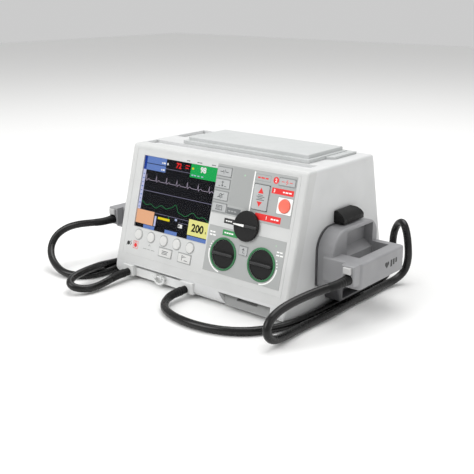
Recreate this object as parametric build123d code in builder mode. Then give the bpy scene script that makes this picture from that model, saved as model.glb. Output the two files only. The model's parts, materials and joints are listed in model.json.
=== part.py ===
"""Portable monitor defibrillator with two hand paddles, modelled piece by piece in millimetres.

Row frame: +X to the user's right, +Y to the back, +Z up. The origin is on the surface that the
rubber feet stand on, under the middle of the object. The control panel leans back, and its own
plane gives (u, v): u from the middle to the right, v up the panel from its lower edge.
"""
from build123d import *
import math
import os

os.makedirs("parts", exist_ok=True)

# ---------------------------------------------------------------- case
case_width = 262.0
case_top = 159.8
foot_height = 3.0
front_top_y = -60.3
lip_y = -97.4
lip_z = 20.5
front_foot_y = -100.8
back_top_y = 66.0
back_foot_y = 101.5
wall = 3.0
edge_radius = 4.0
foot_edge_radius = 9.0
seam_depth = 13.0
fit_gap = 0.25
slide_gap = 0.4

# ---------------------------------------------------------------- control panel
glass_width = 117.0
glass_height = 86.6
glass_u = -50.6
glass_v = 88.4
glass_thickness = 1.5
glass_set_back = 0.3
glass_ledge = 1.6
display_depth = 8.5
display_edge = 2.0
display_back_inset = 16.0
display_back_depth = 3.0
behind_gap = 0.2
label_thickness = 0.5
label_recess = 0.3
key_label_box = (8.3, 117.8, 82.7, 137.2)
pacer_label_box = (10.0, 117.7, 17.0, 68.6)
selector_notch_radius = 8.5
board_thickness = 1.6
board_depth = 8.6
board_box = (12.0, 120.0, 12.0, 136.0)
board_tail_box = (-118.0, 12.0, 10.0, 43.2)
switch_cap_width = 5.0
switch_cap_height = 0.7
key_flange = 0.8
key_flange_depth = 1.2
key_length = 6.0
key_proud = 1.0
key_corner = 1.0
key_edge = 0.4
cap_edge = 0.8

# name: (u, v, width, height)
square_keys = {
    "lead_key": (19.4, 129.2, 20.0, 9.6),
    "size_key": (19.4, 115.9, 20.0, 9.6),
    "alarm_key": (19.4, 102.6, 20.0, 9.6),
    "recorder_key": (19.9, 89.3, 20.0, 9.2),
    "charge_key": (105.9, 130.0, 20.6, 7.6),
    "pacer_test_key": (63.4, 48.5, 11.0, 9.2),
    "summary_key": (-50.6, 22.8, 20.0, 9.4),
    "marker_key": (-19.6, 22.6, 19.2, 9.8),
}
softkey_radius = 5.9
softkey_first_u = -98.4
softkey_pitch = 21.2
softkey_v = 36.2
softkey_count = 5
softkey_proud = 1.6
softkey_edge = 1.0
shock_radius = 7.4
shock_u = 107.1
shock_v = 105.0
shock_proud = 1.6
rocker_u = 74.6
rocker_v = 109.2
rocker_width = 20.4
rocker_height = 27.2
rocker_gap = 0.5
rocker_proud = 1.2
rocker_corner = 1.5
rocker_edge = 0.5
rocker_pivot_depth = 4.2
rocker_pin_radius = 1.5
rocker_pin_length = 16.0
rocker_stem_width = 3.0
rocker_stem_depth = 6.6

# ---------------------------------------------------------------- knobs
selector_u = 63.3
selector_v = 75.8
selector_radius = 16.9
pacer_radius = 16.0
output_u = 36.2
output_v = 39.4
rate_u = 90.0
rate_v = 38.8
knob_disc = 3.2
grip_height = 1.8
pacer_well_depth = 2.4
pacer_well_floor = 2.4
pacer_disc = 1.8
pacer_grip_height = 3.6
grip_width = 4.4
ring_radius = 18.6
ring_gap = 0.3
ring_thickness = 1.0
ring_edge = 0.3
knob_edge = 0.8
grip_edge = 0.8
grip_inset = 1.0
grip_corner = 2.0
knob_clear = 0.5
shaft_radius = 3.0
shaft_gap = 0.06
shaft_clear = 0.5
switch_radius = 12.5
switch_depth = 14.0
shaft_end_gap = 0.6
pot_radius = 8.5

# ---------------------------------------------------------------- top: battery and recorder
channel_box = (-124.0, 118.0, -45.5, -27.0)
channel_depth = 3.5
battery_x0 = -77.0
battery_x1 = 100.5
battery_y0 = -20.5
battery_y1 = 48.5
battery_depth = 31.0
battery_lip = 4.2
battery_lip_thickness = 3.6
battery_top_thickness = 4.4
battery_tab_x = 114.0
battery_tab_y0 = 4.0
battery_tab_y1 = 56.0
battery_tab_thickness = 2.4
battery_tab_slant = 8.0
battery_floor_gap = 2.0
battery_top_inset = 1.0
battery_edge = 1.2
contact_box = (60.0, 92.0, 0.0, 26.0)
contact_height = 1.4
recorder_box = (-125.0, -86.0, 8.0, 60.0)
recorder_depth = 46.0
recorder_sink = 3.5
door_thickness = 2.6
door_gap = 0.5
door_hinge_inset = 3.4
door_hinge_radius = 2.4
door_rib_box = (12.0, 2.4, 4.2)
door_rib_height = 1.2
paper_slit_box = (5.0, 6.0, 7.6)
roll_radius = 17.0
roll_bore = 5.0
roll_gap = 2.0
roll_y = 32.0
roll_lift = 1.0
mechanism_gap = 0.4
mechanism_depth = 9.0
mechanism_height = 30.0
platen_radius = 4.0
platen_y = 6.0
platen_z = 34.0

# ---------------------------------------------------------------- lower front
base_top = lip_z
front_zone_y = -70.0
connector_x0 = -114.0
connector_x1 = 1.2
connector_z0 = 5.0
connector_z1 = 18.6
connector_back_y = -78.0
connector_face_y = -101.4
block_a_width = 16.6
block_b_width = 19.2
bar_face_y = -96.0
bar_top_z = 15.4
connector_edge = 1.0
ring_x = -55.0
ring_centre_y = -98.9
ring_axis_z = 13.6
ring_loop_radius = 8.6
ring_wire_radius = 1.5
ring_pin_radius = 1.1
ring_bore_length = 16.0
lug_width = 2.6
lug_offset = 4.6
lug_reach = 2.0
lug_below = 1.9
lug_above = 1.8
gland_a = (-105.6, 9.6)
gland_b = (-10.2, 9.6)
gland_radius = 4.6
gland_nose_radius = 4.6
gland_length = 7.0
gland_spigot = 6.0
spigot_radius = 3.6
spigot_gap = 0.05
spigot_end_gap = 0.5
pocket_x = (37.6, 48.8, 111.0)
pocket_z0 = 5.2
pocket_z1 = 17.6
pocket_back_y = -84.0
card_front_y = -99.4
card_slope = 0.75
card_slope_start = 4.0
slot_x0 = 61.0
slot_x1 = 89.5
slot_z0 = 11.4
slot_z1 = 14.0
slot_back_y = -88.0

# ---------------------------------------------------------------- rear connectors
rear_window_width = 150.0
rear_window_height = 62.0
rear_window_v = 62.0
rear_panel_sink = 0.8
rear_depth = 12.0
inlet_u = 48.0
inlet_v = 58.0
inlet_width = 32.0
inlet_height = 26.0
inlet_wall = 3.0
inlet_pins = ((0.0, 3.5), (-7.0, -3.0), (7.0, -3.0))
inlet_pin_radius = 2.2
socket_us = (-4.0, -34.0)
socket_v = 62.0
socket_radius = 11.0
socket_collar = 8.5
socket_collar_height = 2.2
socket_pin_circle = 4.5
socket_pin_radius = 1.0
pin_length = 8.0
pin_root = 1.0

# ---------------------------------------------------------------- insides
screw_x = 121.0
screw_ys = (-48.0, 72.0)
screw_boss_radius = 5.8
screw_boss_top = 36.0
screw_radius = 1.6
screw_length = 14.0
screw_head_radius = 3.5
screw_head_height = 1.5
screw_head_sink = 1.8
screw_hex_radius = 1.4
screw_hex_depth = 0.9
chassis_x = 104.0
chassis_y0 = -64.0
chassis_y1 = 84.0
chassis_thickness = 1.5
chassis_wall_y0 = -56.0
chassis_wall_y1 = 74.0
chassis_wall_top = 84.0
chassis_hole_radius = 9.0
chassis_hole_pitch = 60.0
chassis_lift = 1.0
main_board_box = (-98.0, 12.0, -46.0, 72.0)
# x, y, width, depth and height of the parts that stand on the main board
board_parts = (
    (-70.0, -20.0, 30.0, 30.0, 3.0), (-28.0, -16.0, 20.0, 20.0, 2.4),
    (-74.0, 36.0, 26.0, 14.0, 9.0), (-36.0, 40.0, 34.0, 10.0, 11.0),
    (0.0, 20.0, 12.0, 40.0, 8.0),
)
standoff_height = 10.0
standoff_radius = 3.0
standoff_inset = 6.0
capacitor_radius = 25.0
capacitor_length = 78.0
capacitor_x0 = 22.0
capacitor_y = 34.0
terminal_length = 4.0
terminal_radius = 3.0
terminal_offset = 10.0
inductor_x = 62.0
inductor_y = -26.0
inductor_radius = 23.0
inductor_bore = 7.0
inductor_height = 28.0
speaker_y = 10.0
speaker_z = 56.0
speaker_radius = 22.0
speaker_cone_radius = 18.0
speaker_magnet_radius = 12.0
speaker_rim_depth = 3.0
speaker_cone_depth = 5.0
speaker_magnet_depth = 9.0
foot_radius = 9.0
foot_x = 108.0
foot_ys = (-74.0, 84.0)
foot_edge = 0.8

# ---------------------------------------------------------------- side holders, latches and paddles
holder_thickness = 1.9
holder_rim = 1.0
ledge_reach = 21.0
ledge_y0 = -31.0
ledge_y1 = 28.0
ledge_z0 = 12.5
ledge_z1 = 30.0
ledge_slant = 7.0
ledge_hole = (-22.0, 10.0, 15.5, 27.0)
ledge_hole_depth = 12.0
ledge_edge = 1.5
latch_y0 = -13.0
latch_y1 = 26.5
latch_top_z = 110.2
latch_bottom_z = 96.4
latch_reach = 14.0
latch_pin_drop = 2.0
latch_stand_off = 0.4
latch_rear_corner = 10.0
latch_front_corner = 2.0
latch_foot_corner = 0.8
latch_face_height = 5.0
latch_crown_back = 4.5
latch_crown_drop = 3.2
paddle_gap = 0.4
paddle_y0 = -47.0
paddle_y1 = 45.0
cheek_y0 = -44.6
cheek_z0 = 32.0
cheek_z1 = 94.6
cheek_reach = 22.0
cheek_front_corner = 24.0
cheek_rear_corner = 18.0
cheek_low_corner = 3.0
cheek_edge = 2.4
handle_reach = 57.5
handle_z0 = 40.0
handle_z1 = 68.5
grip_hole_y0 = -28.0
grip_hole_y1 = 34.0
grip_hole_reach = 43.5
handle_edge = 2.5
handle_corner = 5.0
knuckle_y0 = -19.0
knuckle_y1 = 34.0
knuckle_depth = 11.0
knuckle_zs = (91.5, 86.0, 70.0, 62.0)
boss_reach_0 = 40.5
boss_reach_1 = 56.0
boss_z0 = 46.5
boss_front_y = -57.0
boss_edge = 1.6
electrode_size = (70.0, 46.0)
electrode_thickness = 1.4
electrode_corner = 6.0
electrode_centre = (0.0, 60.0)
shock_key_reach = 48.3
shock_key_z = 63.4
shock_key_width = 9.0
shock_key_height = 7.0
shock_key_proud = 3.0
shock_key_travel = 1.5
shock_key_well = 9.0
paddle_cord_reach = 48.5
paddle_cord_z = 53.4
relief_length = 6.0
relief_radius = 5.8
relief_nose_radius = 5.2
relief_spigot = 6.0

# ---------------------------------------------------------------- cords
cord_diameter = 9.0
cord_rest_z = 4.7
cord_straight_out = 11.0
cord_straight_in = 9.0
cord_bend_share = 0.45

# ---------------------------------------------------------------- frames worked out from the sizes above
half_width = case_width / 2
handle_out_x = half_width + handle_reach
grip_hole_out_x = half_width + grip_hole_reach
shock_key_x = half_width + shock_key_reach
paddle_cord_x = half_width + paddle_cord_reach
shaft_hole = shaft_radius + shaft_clear
lean = math.atan2(front_top_y - lip_y, case_top - lip_z)
back_lean = math.atan2(back_foot_y - back_top_y, case_top - foot_height)
panel = Plane(
    origin=(0, lip_y, lip_z),
    x_dir=(1, 0, 0),
    z_dir=(0, -math.cos(lean), math.sin(lean)),
)
seam = panel.offset(-seam_depth)
back_face = Plane(
    origin=(0, back_foot_y, foot_height),
    x_dir=(-1, 0, 0),
    z_dir=(0, math.cos(back_lean), math.sin(back_lean)),
)


def save(piece, name):
    """Label one finished piece and write it as its own STEP file."""
    piece.part.label = name
    export_step(piece.part, f"parts/{name}.step")


def case_block(inset=0.0, mode=Mode.ADD):
    """Add or cut the leaning case block, with every face moved inwards by inset."""
    outline = [
        (front_foot_y, foot_height),
        (lip_y, lip_z),
        (front_top_y, case_top),
        (back_top_y, case_top),
        (back_foot_y, foot_height),
    ]
    radii = [foot_edge_radius, edge_radius, edge_radius, edge_radius, edge_radius]
    with BuildSketch(Plane.YZ.offset(inset - half_width)) as side:
        with BuildLine():
            FilletPolyline(*outline, radius=radii, close=True)
        make_face()
        if inset:
            offset(amount=-inset)
    extrude(side.sketch, amount=case_width - 2 * inset, mode=mode)


def round_case_ends(part):
    """Round the edges where the two end faces of the case block meet its long faces."""
    ends = part.faces().filter_by(Axis.X).sort_by(Axis.X)
    fillet(ends[0].edges() + ends[-1].edges(), radius=edge_radius - 1)


def box_between(x0, x1, y0, y1, z0, z1, mode=Mode.ADD):
    """Add or cut a box given by its lowest and highest corners."""
    with Locations(((x0 + x1) / 2, (y0 + y1) / 2, (z0 + z1) / 2)):
        Box(abs(x1 - x0), y1 - y0, z1 - z0, mode=mode)


def panel_rectangle(u, v, width, height, top, bottom, mode=Mode.ADD, corner=0.0):
    """Add or cut a rectangle on the panel between two distances out from its face."""
    with BuildSketch(panel.offset(bottom)) as outline:
        with Locations((u, v)):
            if corner:
                RectangleRounded(width, height, corner)
            else:
                Rectangle(width, height)
    extrude(outline.sketch, amount=top - bottom, mode=mode)


def panel_disc(u, v, radius, top, bottom, mode=Mode.ADD):
    """Add or cut a disc on the panel between two distances out from its face."""
    with BuildSketch(panel.offset(bottom)) as outline:
        with Locations((u, v)):
            Circle(radius)
    extrude(outline.sketch, amount=top - bottom, mode=mode)


def panel_box(box, top, bottom, mode=Mode.ADD, grow=0.0):
    """Add or cut the (u0, u1, v0, v1) box on the panel, each side moved out by grow."""
    u0, u1, v0, v1 = box
    panel_rectangle(
        (u0 + u1) / 2, (v0 + v1) / 2, u1 - u0 + 2 * grow, v1 - v0 + 2 * grow, top, bottom, mode
    )


softkeys = {
    f"softkey_{i + 1}": (softkey_first_u + i * softkey_pitch, softkey_v)
    for i in range(softkey_count)
}
screw_places = [(side * screw_x, y) for y in screw_ys for side in (1, -1)]
pacer_low = knob_clear - pacer_well_depth
pacer_bore = pacer_radius + ring_gap
pacer_places = ((output_u, output_v), (rate_u, rate_v))
# name: (u, v, radius, height of its underside, height of its disc, height of its grip)
knob_places = {
    "selector_knob": (selector_u, selector_v, selector_radius, knob_clear + label_recess,
                      knob_disc, grip_height),
    "output_knob": (output_u, output_v, pacer_radius, pacer_low, pacer_disc, pacer_grip_height),
    "rate_knob": (rate_u, rate_v, pacer_radius, pacer_low, pacer_disc, pacer_grip_height),
}


def cut_controls(top, bottom, shafts):
    """Cut the openings of every key, button and shaft between two distances from the panel."""
    for u, v, width, height in square_keys.values():
        panel_rectangle(u, v, width + 2 * fit_gap, height + 2 * fit_gap, top, bottom, Mode.SUBTRACT)
    for u, v in softkeys.values():
        panel_disc(u, v, softkey_radius + fit_gap, top, bottom, Mode.SUBTRACT)
    panel_disc(shock_u, shock_v, shock_radius + fit_gap, top, bottom, Mode.SUBTRACT)
    panel_rectangle(
        rocker_u, rocker_v, rocker_width + 2 * rocker_gap, rocker_height + 2 * rocker_gap,
        top, bottom, Mode.SUBTRACT,
    )
    if shafts:
        for u, v, *_ in knob_places.values():
            panel_disc(u, v, shaft_hole, top, bottom, Mode.SUBTRACT)


# ================================================================ case shells
with BuildPart() as front_panel:
    case_block()
    round_case_ends(front_panel.part)
    case_block(inset=wall, mode=Mode.SUBTRACT)
    split(bisect_by=seam, keep=Keep.TOP)
    split(bisect_by=Plane.XY.offset(base_top), keep=Keep.TOP)
    panel_rectangle(
        glass_u, glass_v, glass_width + 2 * fit_gap, glass_height + 2 * fit_gap,
        wall, -(glass_thickness + glass_set_back), Mode.SUBTRACT,
    )
    panel_rectangle(
        glass_u, glass_v, glass_width - 2 * glass_ledge, glass_height - 2 * glass_ledge,
        0, -2 * wall, Mode.SUBTRACT,
    )
    panel_box(key_label_box, wall, -label_recess, Mode.SUBTRACT, grow=fit_gap / 2)
    panel_box(pacer_label_box, wall, -label_recess, Mode.SUBTRACT, grow=fit_gap / 2)
    # wells that the two lower knobs sit in, with the wall carried round behind them
    for u, v in pacer_places:
        panel_disc(u, v, pacer_bore + pacer_well_floor, -wall / 2,
                   -pacer_well_depth - pacer_well_floor)
        panel_disc(u, v, pacer_bore, wall, -pacer_well_depth, Mode.SUBTRACT)
    cut_controls(wall, -3 * wall, shafts=True)
save(front_panel, "front_panel")

with BuildPart() as main_housing:
    case_block()
    round_case_ends(main_housing.part)
    case_block(inset=wall, mode=Mode.SUBTRACT)
    split(bisect_by=seam, keep=Keep.BOTTOM)
    split(bisect_by=Plane.XY.offset(base_top), keep=Keep.TOP)
    # wells let into the roof: the outer box is added under the roof, then hollowed from above
    cx0, cx1, cy0, cy1 = channel_box
    box_between(cx0 - wall, cx1 + wall, cy0, cy1 + wall,
                case_top - channel_depth - wall, case_top - wall / 2)
    box_between(cx0, cx1, cy0, cy1, case_top - channel_depth, case_top + wall, Mode.SUBTRACT)
    box_between(battery_x0 - wall, battery_x1 + wall, battery_y0 - wall, battery_y1 + wall,
                case_top - battery_depth - wall, case_top - wall / 2)
    box_between(battery_x0 - slide_gap, battery_x1 + slide_gap, battery_y0 - slide_gap,
                battery_y1 + slide_gap, case_top - battery_depth, case_top + wall, Mode.SUBTRACT)
    rx0, rx1, ry0, ry1 = recorder_box
    box_between(rx0 - wall, rx1 + wall, ry0 - wall, ry1 + wall,
                case_top - recorder_depth - wall, case_top - wall / 2)
    box_between(rx0, rx1, ry0, ry1, case_top - recorder_depth, case_top + wall, Mode.SUBTRACT)
    # ledge that the recorder door shuts against, left standing at the front of its well
    box_between(rx0, rx1, ry0, ry0 + wall, case_top - recorder_depth,
                case_top - recorder_sink - door_thickness - door_gap)
    # window for the rear connector panel
    with BuildSketch(back_face.offset(wall)):
        with Locations((0, rear_window_v)):
            Rectangle(rear_window_width, rear_window_height)
    extrude(amount=-3 * wall, mode=Mode.SUBTRACT)
    # screw bosses that reach down into the base
    with BuildSketch(Plane.XY.offset(foot_height + wall + fit_gap)):
        with Locations(*screw_places):
            Circle(screw_boss_radius)
            Circle(screw_radius + shaft_gap, mode=Mode.SUBTRACT)
    extrude(amount=screw_boss_top - foot_height - wall - fit_gap)
    for x, y in screw_places:
        outer = math.copysign(half_width - wall / 2, x)
        box_between(x + math.copysign(screw_boss_radius - 1, x), outer, y - wall / 2,
                    y + wall / 2, base_top, screw_boss_top)
save(main_housing, "main_housing")

with BuildPart() as base_tray:
    case_block()
    round_case_ends(base_tray.part)
    split(bisect_by=Plane.XY.offset(base_top), keep=Keep.BOTTOM)
    back_y_at_top = back_foot_y - (base_top - foot_height) * math.tan(back_lean)
    box_between(wall - half_width, half_width - wall, front_zone_y, back_y_at_top - wall,
                foot_height + wall, base_top + wall, Mode.SUBTRACT)
    # slot for the cable connector, open at the front
    box_between(connector_x0 - fit_gap, connector_x1 + fit_gap, front_foot_y - wall,
                connector_back_y + fit_gap, connector_z0 - fit_gap, connector_z1 + fit_gap,
                Mode.SUBTRACT)
    # pocket for the data card unit
    with BuildSketch(Plane.XZ.offset(-pocket_back_y)):
        with BuildLine():
            Polyline(
                (pocket_x[0], pocket_z1), (pocket_x[2], pocket_z1),
                (pocket_x[2], pocket_z0), (pocket_x[1], pocket_z0), close=True,
            )
        make_face()
    extrude(amount=-pocket_back_y, mode=Mode.SUBTRACT)
    # counterbored screw holes in the floor
    with Locations(*[(x, y, foot_height) for x, y in screw_places]):
        Cylinder(screw_radius + fit_gap, 4 * wall, mode=Mode.SUBTRACT)
        Cylinder(screw_head_radius + slide_gap, 2 * screw_head_sink, mode=Mode.SUBTRACT)
save(base_tray, "base_tray")

# ================================================================ rear connector panel
with BuildPart() as rear_panel:
    with BuildSketch(back_face.offset(-wall)):
        with Locations((0, rear_window_v)):
            Rectangle(rear_window_width - 2 * fit_gap, rear_window_height - 2 * fit_gap)
    extrude(amount=wall - rear_panel_sink)
    with BuildSketch(back_face.offset(-wall - rear_depth)):
        with Locations((inlet_u, inlet_v)):
            Rectangle(inlet_width, inlet_height)
        with Locations(*[(u, socket_v) for u in socket_us]):
            Circle(socket_radius)
    extrude(amount=rear_depth)
    with BuildSketch(back_face.offset(-rear_panel_sink)):
        with Locations(*[(u, socket_v) for u in socket_us]):
            Circle(socket_radius)
    extrude(amount=socket_collar_height)
    with BuildSketch(back_face.offset(wall)):
        with Locations((inlet_u, inlet_v)):
            Rectangle(inlet_width - 2 * inlet_wall, inlet_height - 2 * inlet_wall)
        with Locations(*[(u, socket_v) for u in socket_us]):
            Circle(socket_collar)
    extrude(amount=-(rear_depth + wall), mode=Mode.SUBTRACT)
    with BuildSketch(back_face.offset(-wall - rear_depth + pin_root)):
        with Locations((inlet_u, inlet_v)):
            with Locations(*inlet_pins):
                Circle(inlet_pin_radius)
        for u in socket_us:
            with Locations((u, socket_v)):
                with PolarLocations(socket_pin_circle, 5):
                    Circle(socket_pin_radius)
    extrude(amount=pin_length)
save(rear_panel, "rear_panel")

# ================================================================ display and labels
with BuildPart() as display_window:
    panel_rectangle(glass_u, glass_v, glass_width, glass_height, -glass_set_back,
                    -(glass_set_back + glass_thickness))
save(display_window, "display_window")

with BuildPart() as display_module:
    front = -wall - behind_gap
    panel_rectangle(glass_u, glass_v, glass_width - display_edge, glass_height - display_edge,
                    front, front - display_depth)
    panel_rectangle(glass_u, glass_v, glass_width - display_back_inset,
                    glass_height - display_back_inset, front - display_depth,
                    front - display_depth - display_back_depth)
save(display_module, "display_module")

with BuildPart() as key_label:
    panel_box(key_label_box, label_thickness - label_recess, -label_recess)
    cut_controls(wall, -wall, shafts=False)
    panel_disc(selector_u, selector_v, selector_notch_radius, wall, -wall, Mode.SUBTRACT)
save(key_label, "key_label")

with BuildPart() as pacer_label:
    panel_box(pacer_label_box, label_thickness - label_recess, -label_recess)
    cut_controls(wall, -wall, shafts=False)
    for u, v in pacer_places:
        panel_disc(u, v, pacer_bore, wall, -wall, Mode.SUBTRACT)
    panel_disc(selector_u, selector_v, selector_notch_radius, wall, -wall, Mode.SUBTRACT)
save(pacer_label, "pacer_label")

with BuildPart() as pacer_rings:
    for u, v in pacer_places:
        low = label_thickness - label_recess
        panel_disc(u, v, ring_radius, low + ring_thickness, low)
        panel_disc(u, v, pacer_bore, low + 2 * ring_thickness, low - ring_thickness,
                   Mode.SUBTRACT)
    fillet(pacer_rings.edges().group_by(Axis((0, 0, 0), panel.z_dir))[-1], radius=ring_edge)
save(pacer_rings, "pacer_rings")

# ================================================================ keys and buttons
flange_top = -wall - behind_gap

for name, (u, v, width, height) in square_keys.items():
    with BuildPart() as key:
        panel_rectangle(u, v, width, height, key_proud, key_proud - key_length,
                        corner=key_corner)
        fillet(key.faces().sort_by(Axis((0, 0, 0), panel.z_dir))[-1].edges(), radius=key_edge)
        panel_rectangle(u, v, width + 2 * key_flange, height + 2 * key_flange, flange_top,
                        flange_top - key_flange_depth, corner=key_corner)
    save(key, name)

for name, (u, v) in softkeys.items():
    with BuildPart() as key:
        panel_disc(u, v, softkey_radius, softkey_proud, key_proud - key_length)
        fillet(key.faces().sort_by(Axis((0, 0, 0), panel.z_dir))[-1].edges(),
               radius=softkey_edge)
        panel_disc(u, v, softkey_radius + key_flange, flange_top, flange_top - key_flange_depth)
    save(key, name)

with BuildPart() as shock_button:
    panel_disc(shock_u, shock_v, shock_radius, shock_proud, -key_length)
    fillet(shock_button.faces().sort_by(Axis((0, 0, 0), panel.z_dir))[-1].edges(),
           radius=cap_edge)
    panel_disc(shock_u, shock_v, shock_radius + key_flange, flange_top,
               flange_top - key_flange_depth)
save(shock_button, "shock_button")

with BuildPart() as energy_rocker:
    panel_rectangle(rocker_u, rocker_v, rocker_width, rocker_height, rocker_proud,
                    -rocker_pivot_depth, corner=rocker_corner)
    fillet(energy_rocker.faces().sort_by(Axis((0, 0, 0), panel.z_dir))[-1].edges(),
           radius=rocker_edge)
    # pin that it rocks on, along its lower face, and the stem that works the switches
    pivot = panel.from_local_coords(Vector(rocker_u, rocker_v, -rocker_pivot_depth))
    with BuildSketch(Plane.YZ.offset(rocker_u - rocker_pin_length / 2)) as pin:
        with Locations((pivot.Y, pivot.Z)):
            Circle(rocker_pin_radius)
    extrude(pin.sketch, amount=rocker_pin_length)
    panel_rectangle(rocker_u, rocker_v, rocker_stem_width, rocker_stem_width,
                    -rocker_pivot_depth, -rocker_stem_depth)
save(energy_rocker, "energy_rocker")

# ================================================================ knobs and what they turn
for name, (u, v, radius, low, disc, grip) in knob_places.items():
    with BuildPart() as knob:
        panel_disc(u, v, radius, low + disc, low)
        fillet(knob.faces().sort_by(Axis((0, 0, 0), panel.z_dir))[-1].edges(), radius=knob_edge)
        panel_rectangle(u, v, 2 * radius - grip_inset, grip_width, low + disc + grip,
                        low + disc / 2, corner=grip_corner)
        fillet(knob.faces().sort_by(Axis((0, 0, 0), panel.z_dir))[-1].edges(), radius=grip_edge)
        panel_disc(u, v, shaft_radius, low, -board_depth - board_thickness - switch_depth / 2)
    save(knob, name)

with BuildPart() as rotary_controls:
    behind = -board_depth - board_thickness
    for (u, v, *_), radius in zip(knob_places.values(), (switch_radius, pot_radius, pot_radius)):
        panel_disc(u, v, radius, behind - fit_gap, behind - switch_depth)
        panel_disc(u, v, shaft_radius + shaft_gap, behind,
                   behind - switch_depth / 2 - shaft_end_gap, Mode.SUBTRACT)
save(rotary_controls, "rotary_controls")

with BuildPart() as control_board:
    top = -board_depth
    low = top - board_thickness
    panel_box(board_box, top, low)
    panel_box(board_tail_box, top, low)
    for u, v, *_ in knob_places.values():
        panel_disc(u, v, shaft_hole, top + 1, low - 1, Mode.SUBTRACT)
    switch_places = [(u, v) for u, v, _, _ in square_keys.values()]
    switch_places += list(softkeys.values()) + [(shock_u, shock_v)]
    for u, v in switch_places:
        panel_rectangle(u, v, switch_cap_width, switch_cap_width, top + switch_cap_height, top)
save(control_board, "control_board")

# ================================================================ battery and recorder in the roof
with BuildPart() as battery_pack:
    box_between(battery_x0, battery_x1, battery_y0, battery_y1,
                case_top - battery_depth + battery_floor_gap, case_top + fit_gap)
    box_between(battery_x0 - battery_lip, battery_x1 + battery_lip, battery_y0 - battery_lip,
                battery_y1 + battery_lip / 2, case_top + fit_gap,
                case_top + fit_gap + battery_lip_thickness)
    with BuildSketch(Plane.XY.offset(case_top + fit_gap)):
        with BuildLine():
            Polyline(
                (battery_x1, battery_tab_y0), (battery_tab_x, battery_tab_y0 + battery_tab_slant),
                (battery_tab_x, battery_tab_y1), (battery_x1, battery_tab_y1), close=True,
            )
        make_face()
    extrude(amount=battery_tab_thickness)
    box_between(battery_x0, battery_x1, battery_y0 + battery_top_inset,
                battery_y1 - battery_top_inset,
                case_top + fit_gap + battery_lip_thickness,
                case_top + fit_gap + battery_lip_thickness + battery_top_thickness)
    top_face = battery_pack.faces().sort_by(Axis.Z)[-1]
    fillet(top_face.edges(), radius=battery_edge)
save(battery_pack, "battery_pack")

with BuildPart() as battery_contacts:
    box_between(*contact_box, case_top - battery_depth,
                case_top - battery_depth + contact_height)
save(battery_contacts, "battery_contacts")

with BuildPart() as recorder_door:
    door_top = case_top - recorder_sink
    box_between(rx0 + door_gap, rx1 - door_gap, ry0 + door_gap, ry1 - door_hinge_inset,
                door_top - door_thickness, door_top)
    with BuildSketch(Plane.YZ.offset(rx0 + door_gap)):
        with Locations((ry1 - door_hinge_inset, door_top - door_thickness)):
            Circle(door_hinge_radius)
    extrude(amount=rx1 - rx0 - 2 * door_gap)
    # paper slit along the front edge and a thumb rib
    inset, y0, y1 = paper_slit_box
    box_between(rx0 + inset, rx1 - inset, ry0 + y0, ry0 + y1, door_top - 2 * door_thickness,
                door_top + door_thickness, Mode.SUBTRACT)
    inset, y0, y1 = door_rib_box
    box_between(rx0 + inset, rx1 - inset, ry0 + y0, ry0 + y1, door_top,
                door_top + door_rib_height)
save(recorder_door, "recorder_door")

with BuildPart() as recorder_mechanism:
    deck = case_top - recorder_depth
    box_between(rx0 + mechanism_gap, rx1 - mechanism_gap, ry0 + wall + mechanism_gap,
                ry0 + wall + mechanism_depth, deck, deck + mechanism_height)
    with BuildSketch(Plane.YZ.offset(rx0 + roll_gap)):
        with Locations((ry0 + wall + platen_y, deck + platen_z)):
            Circle(platen_radius)
    extrude(amount=rx1 - rx0 - 2 * roll_gap)
save(recorder_mechanism, "recorder_mechanism")

with BuildPart() as paper_roll:
    with BuildSketch(Plane.YZ.offset(rx0 + roll_gap)):
        with Locations((ry0 + roll_y, deck + roll_lift + roll_radius)):
            Circle(roll_radius)
            Circle(roll_bore, mode=Mode.SUBTRACT)
    extrude(amount=rx1 - rx0 - 2 * roll_gap)
save(paper_roll, "paper_roll")

# ================================================================ insides
chassis_z0 = foot_height + wall + chassis_lift
chassis_top = chassis_z0 + chassis_thickness
board_z = chassis_top + standoff_height
mx0, mx1, my0, my1 = main_board_box

with BuildPart() as chassis_frame:
    box_between(-chassis_x, chassis_x, chassis_y0, chassis_y1, chassis_z0, chassis_top)
    for side in (-1, 1):
        inner = side * (chassis_x - chassis_thickness)
        box_between(side * chassis_x, inner, chassis_wall_y0, chassis_wall_y1, chassis_z0,
                    chassis_wall_top)
    with BuildSketch(Plane.XY.offset(chassis_z0)):
        with GridLocations(chassis_hole_pitch, chassis_hole_pitch, 3, 2):
            Circle(chassis_hole_radius)
    extrude(amount=chassis_thickness, mode=Mode.SUBTRACT)
    with BuildSketch(Plane.YZ.offset(-chassis_x)):
        with Locations((speaker_y, speaker_z)):
            Circle(speaker_cone_radius)
    extrude(amount=chassis_thickness, mode=Mode.SUBTRACT)
save(chassis_frame, "chassis_frame")

with BuildPart() as main_board:
    box_between(mx0, mx1, my0, my1, board_z, board_z + board_thickness)
    for x, y, width, depth, height in board_parts:
        box_between(x - width / 2, x + width / 2, y - depth / 2, y + depth / 2,
                    board_z + board_thickness, board_z + board_thickness + height)
    with BuildSketch(Plane.XY.offset(chassis_top)):
        with Locations(*[(x, y) for x in (mx0 + standoff_inset, mx1 - standoff_inset)
                         for y in (my0 + standoff_inset, my1 - standoff_inset)]):
            Circle(standoff_radius)
    extrude(amount=standoff_height)
save(main_board, "main_board")

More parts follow.
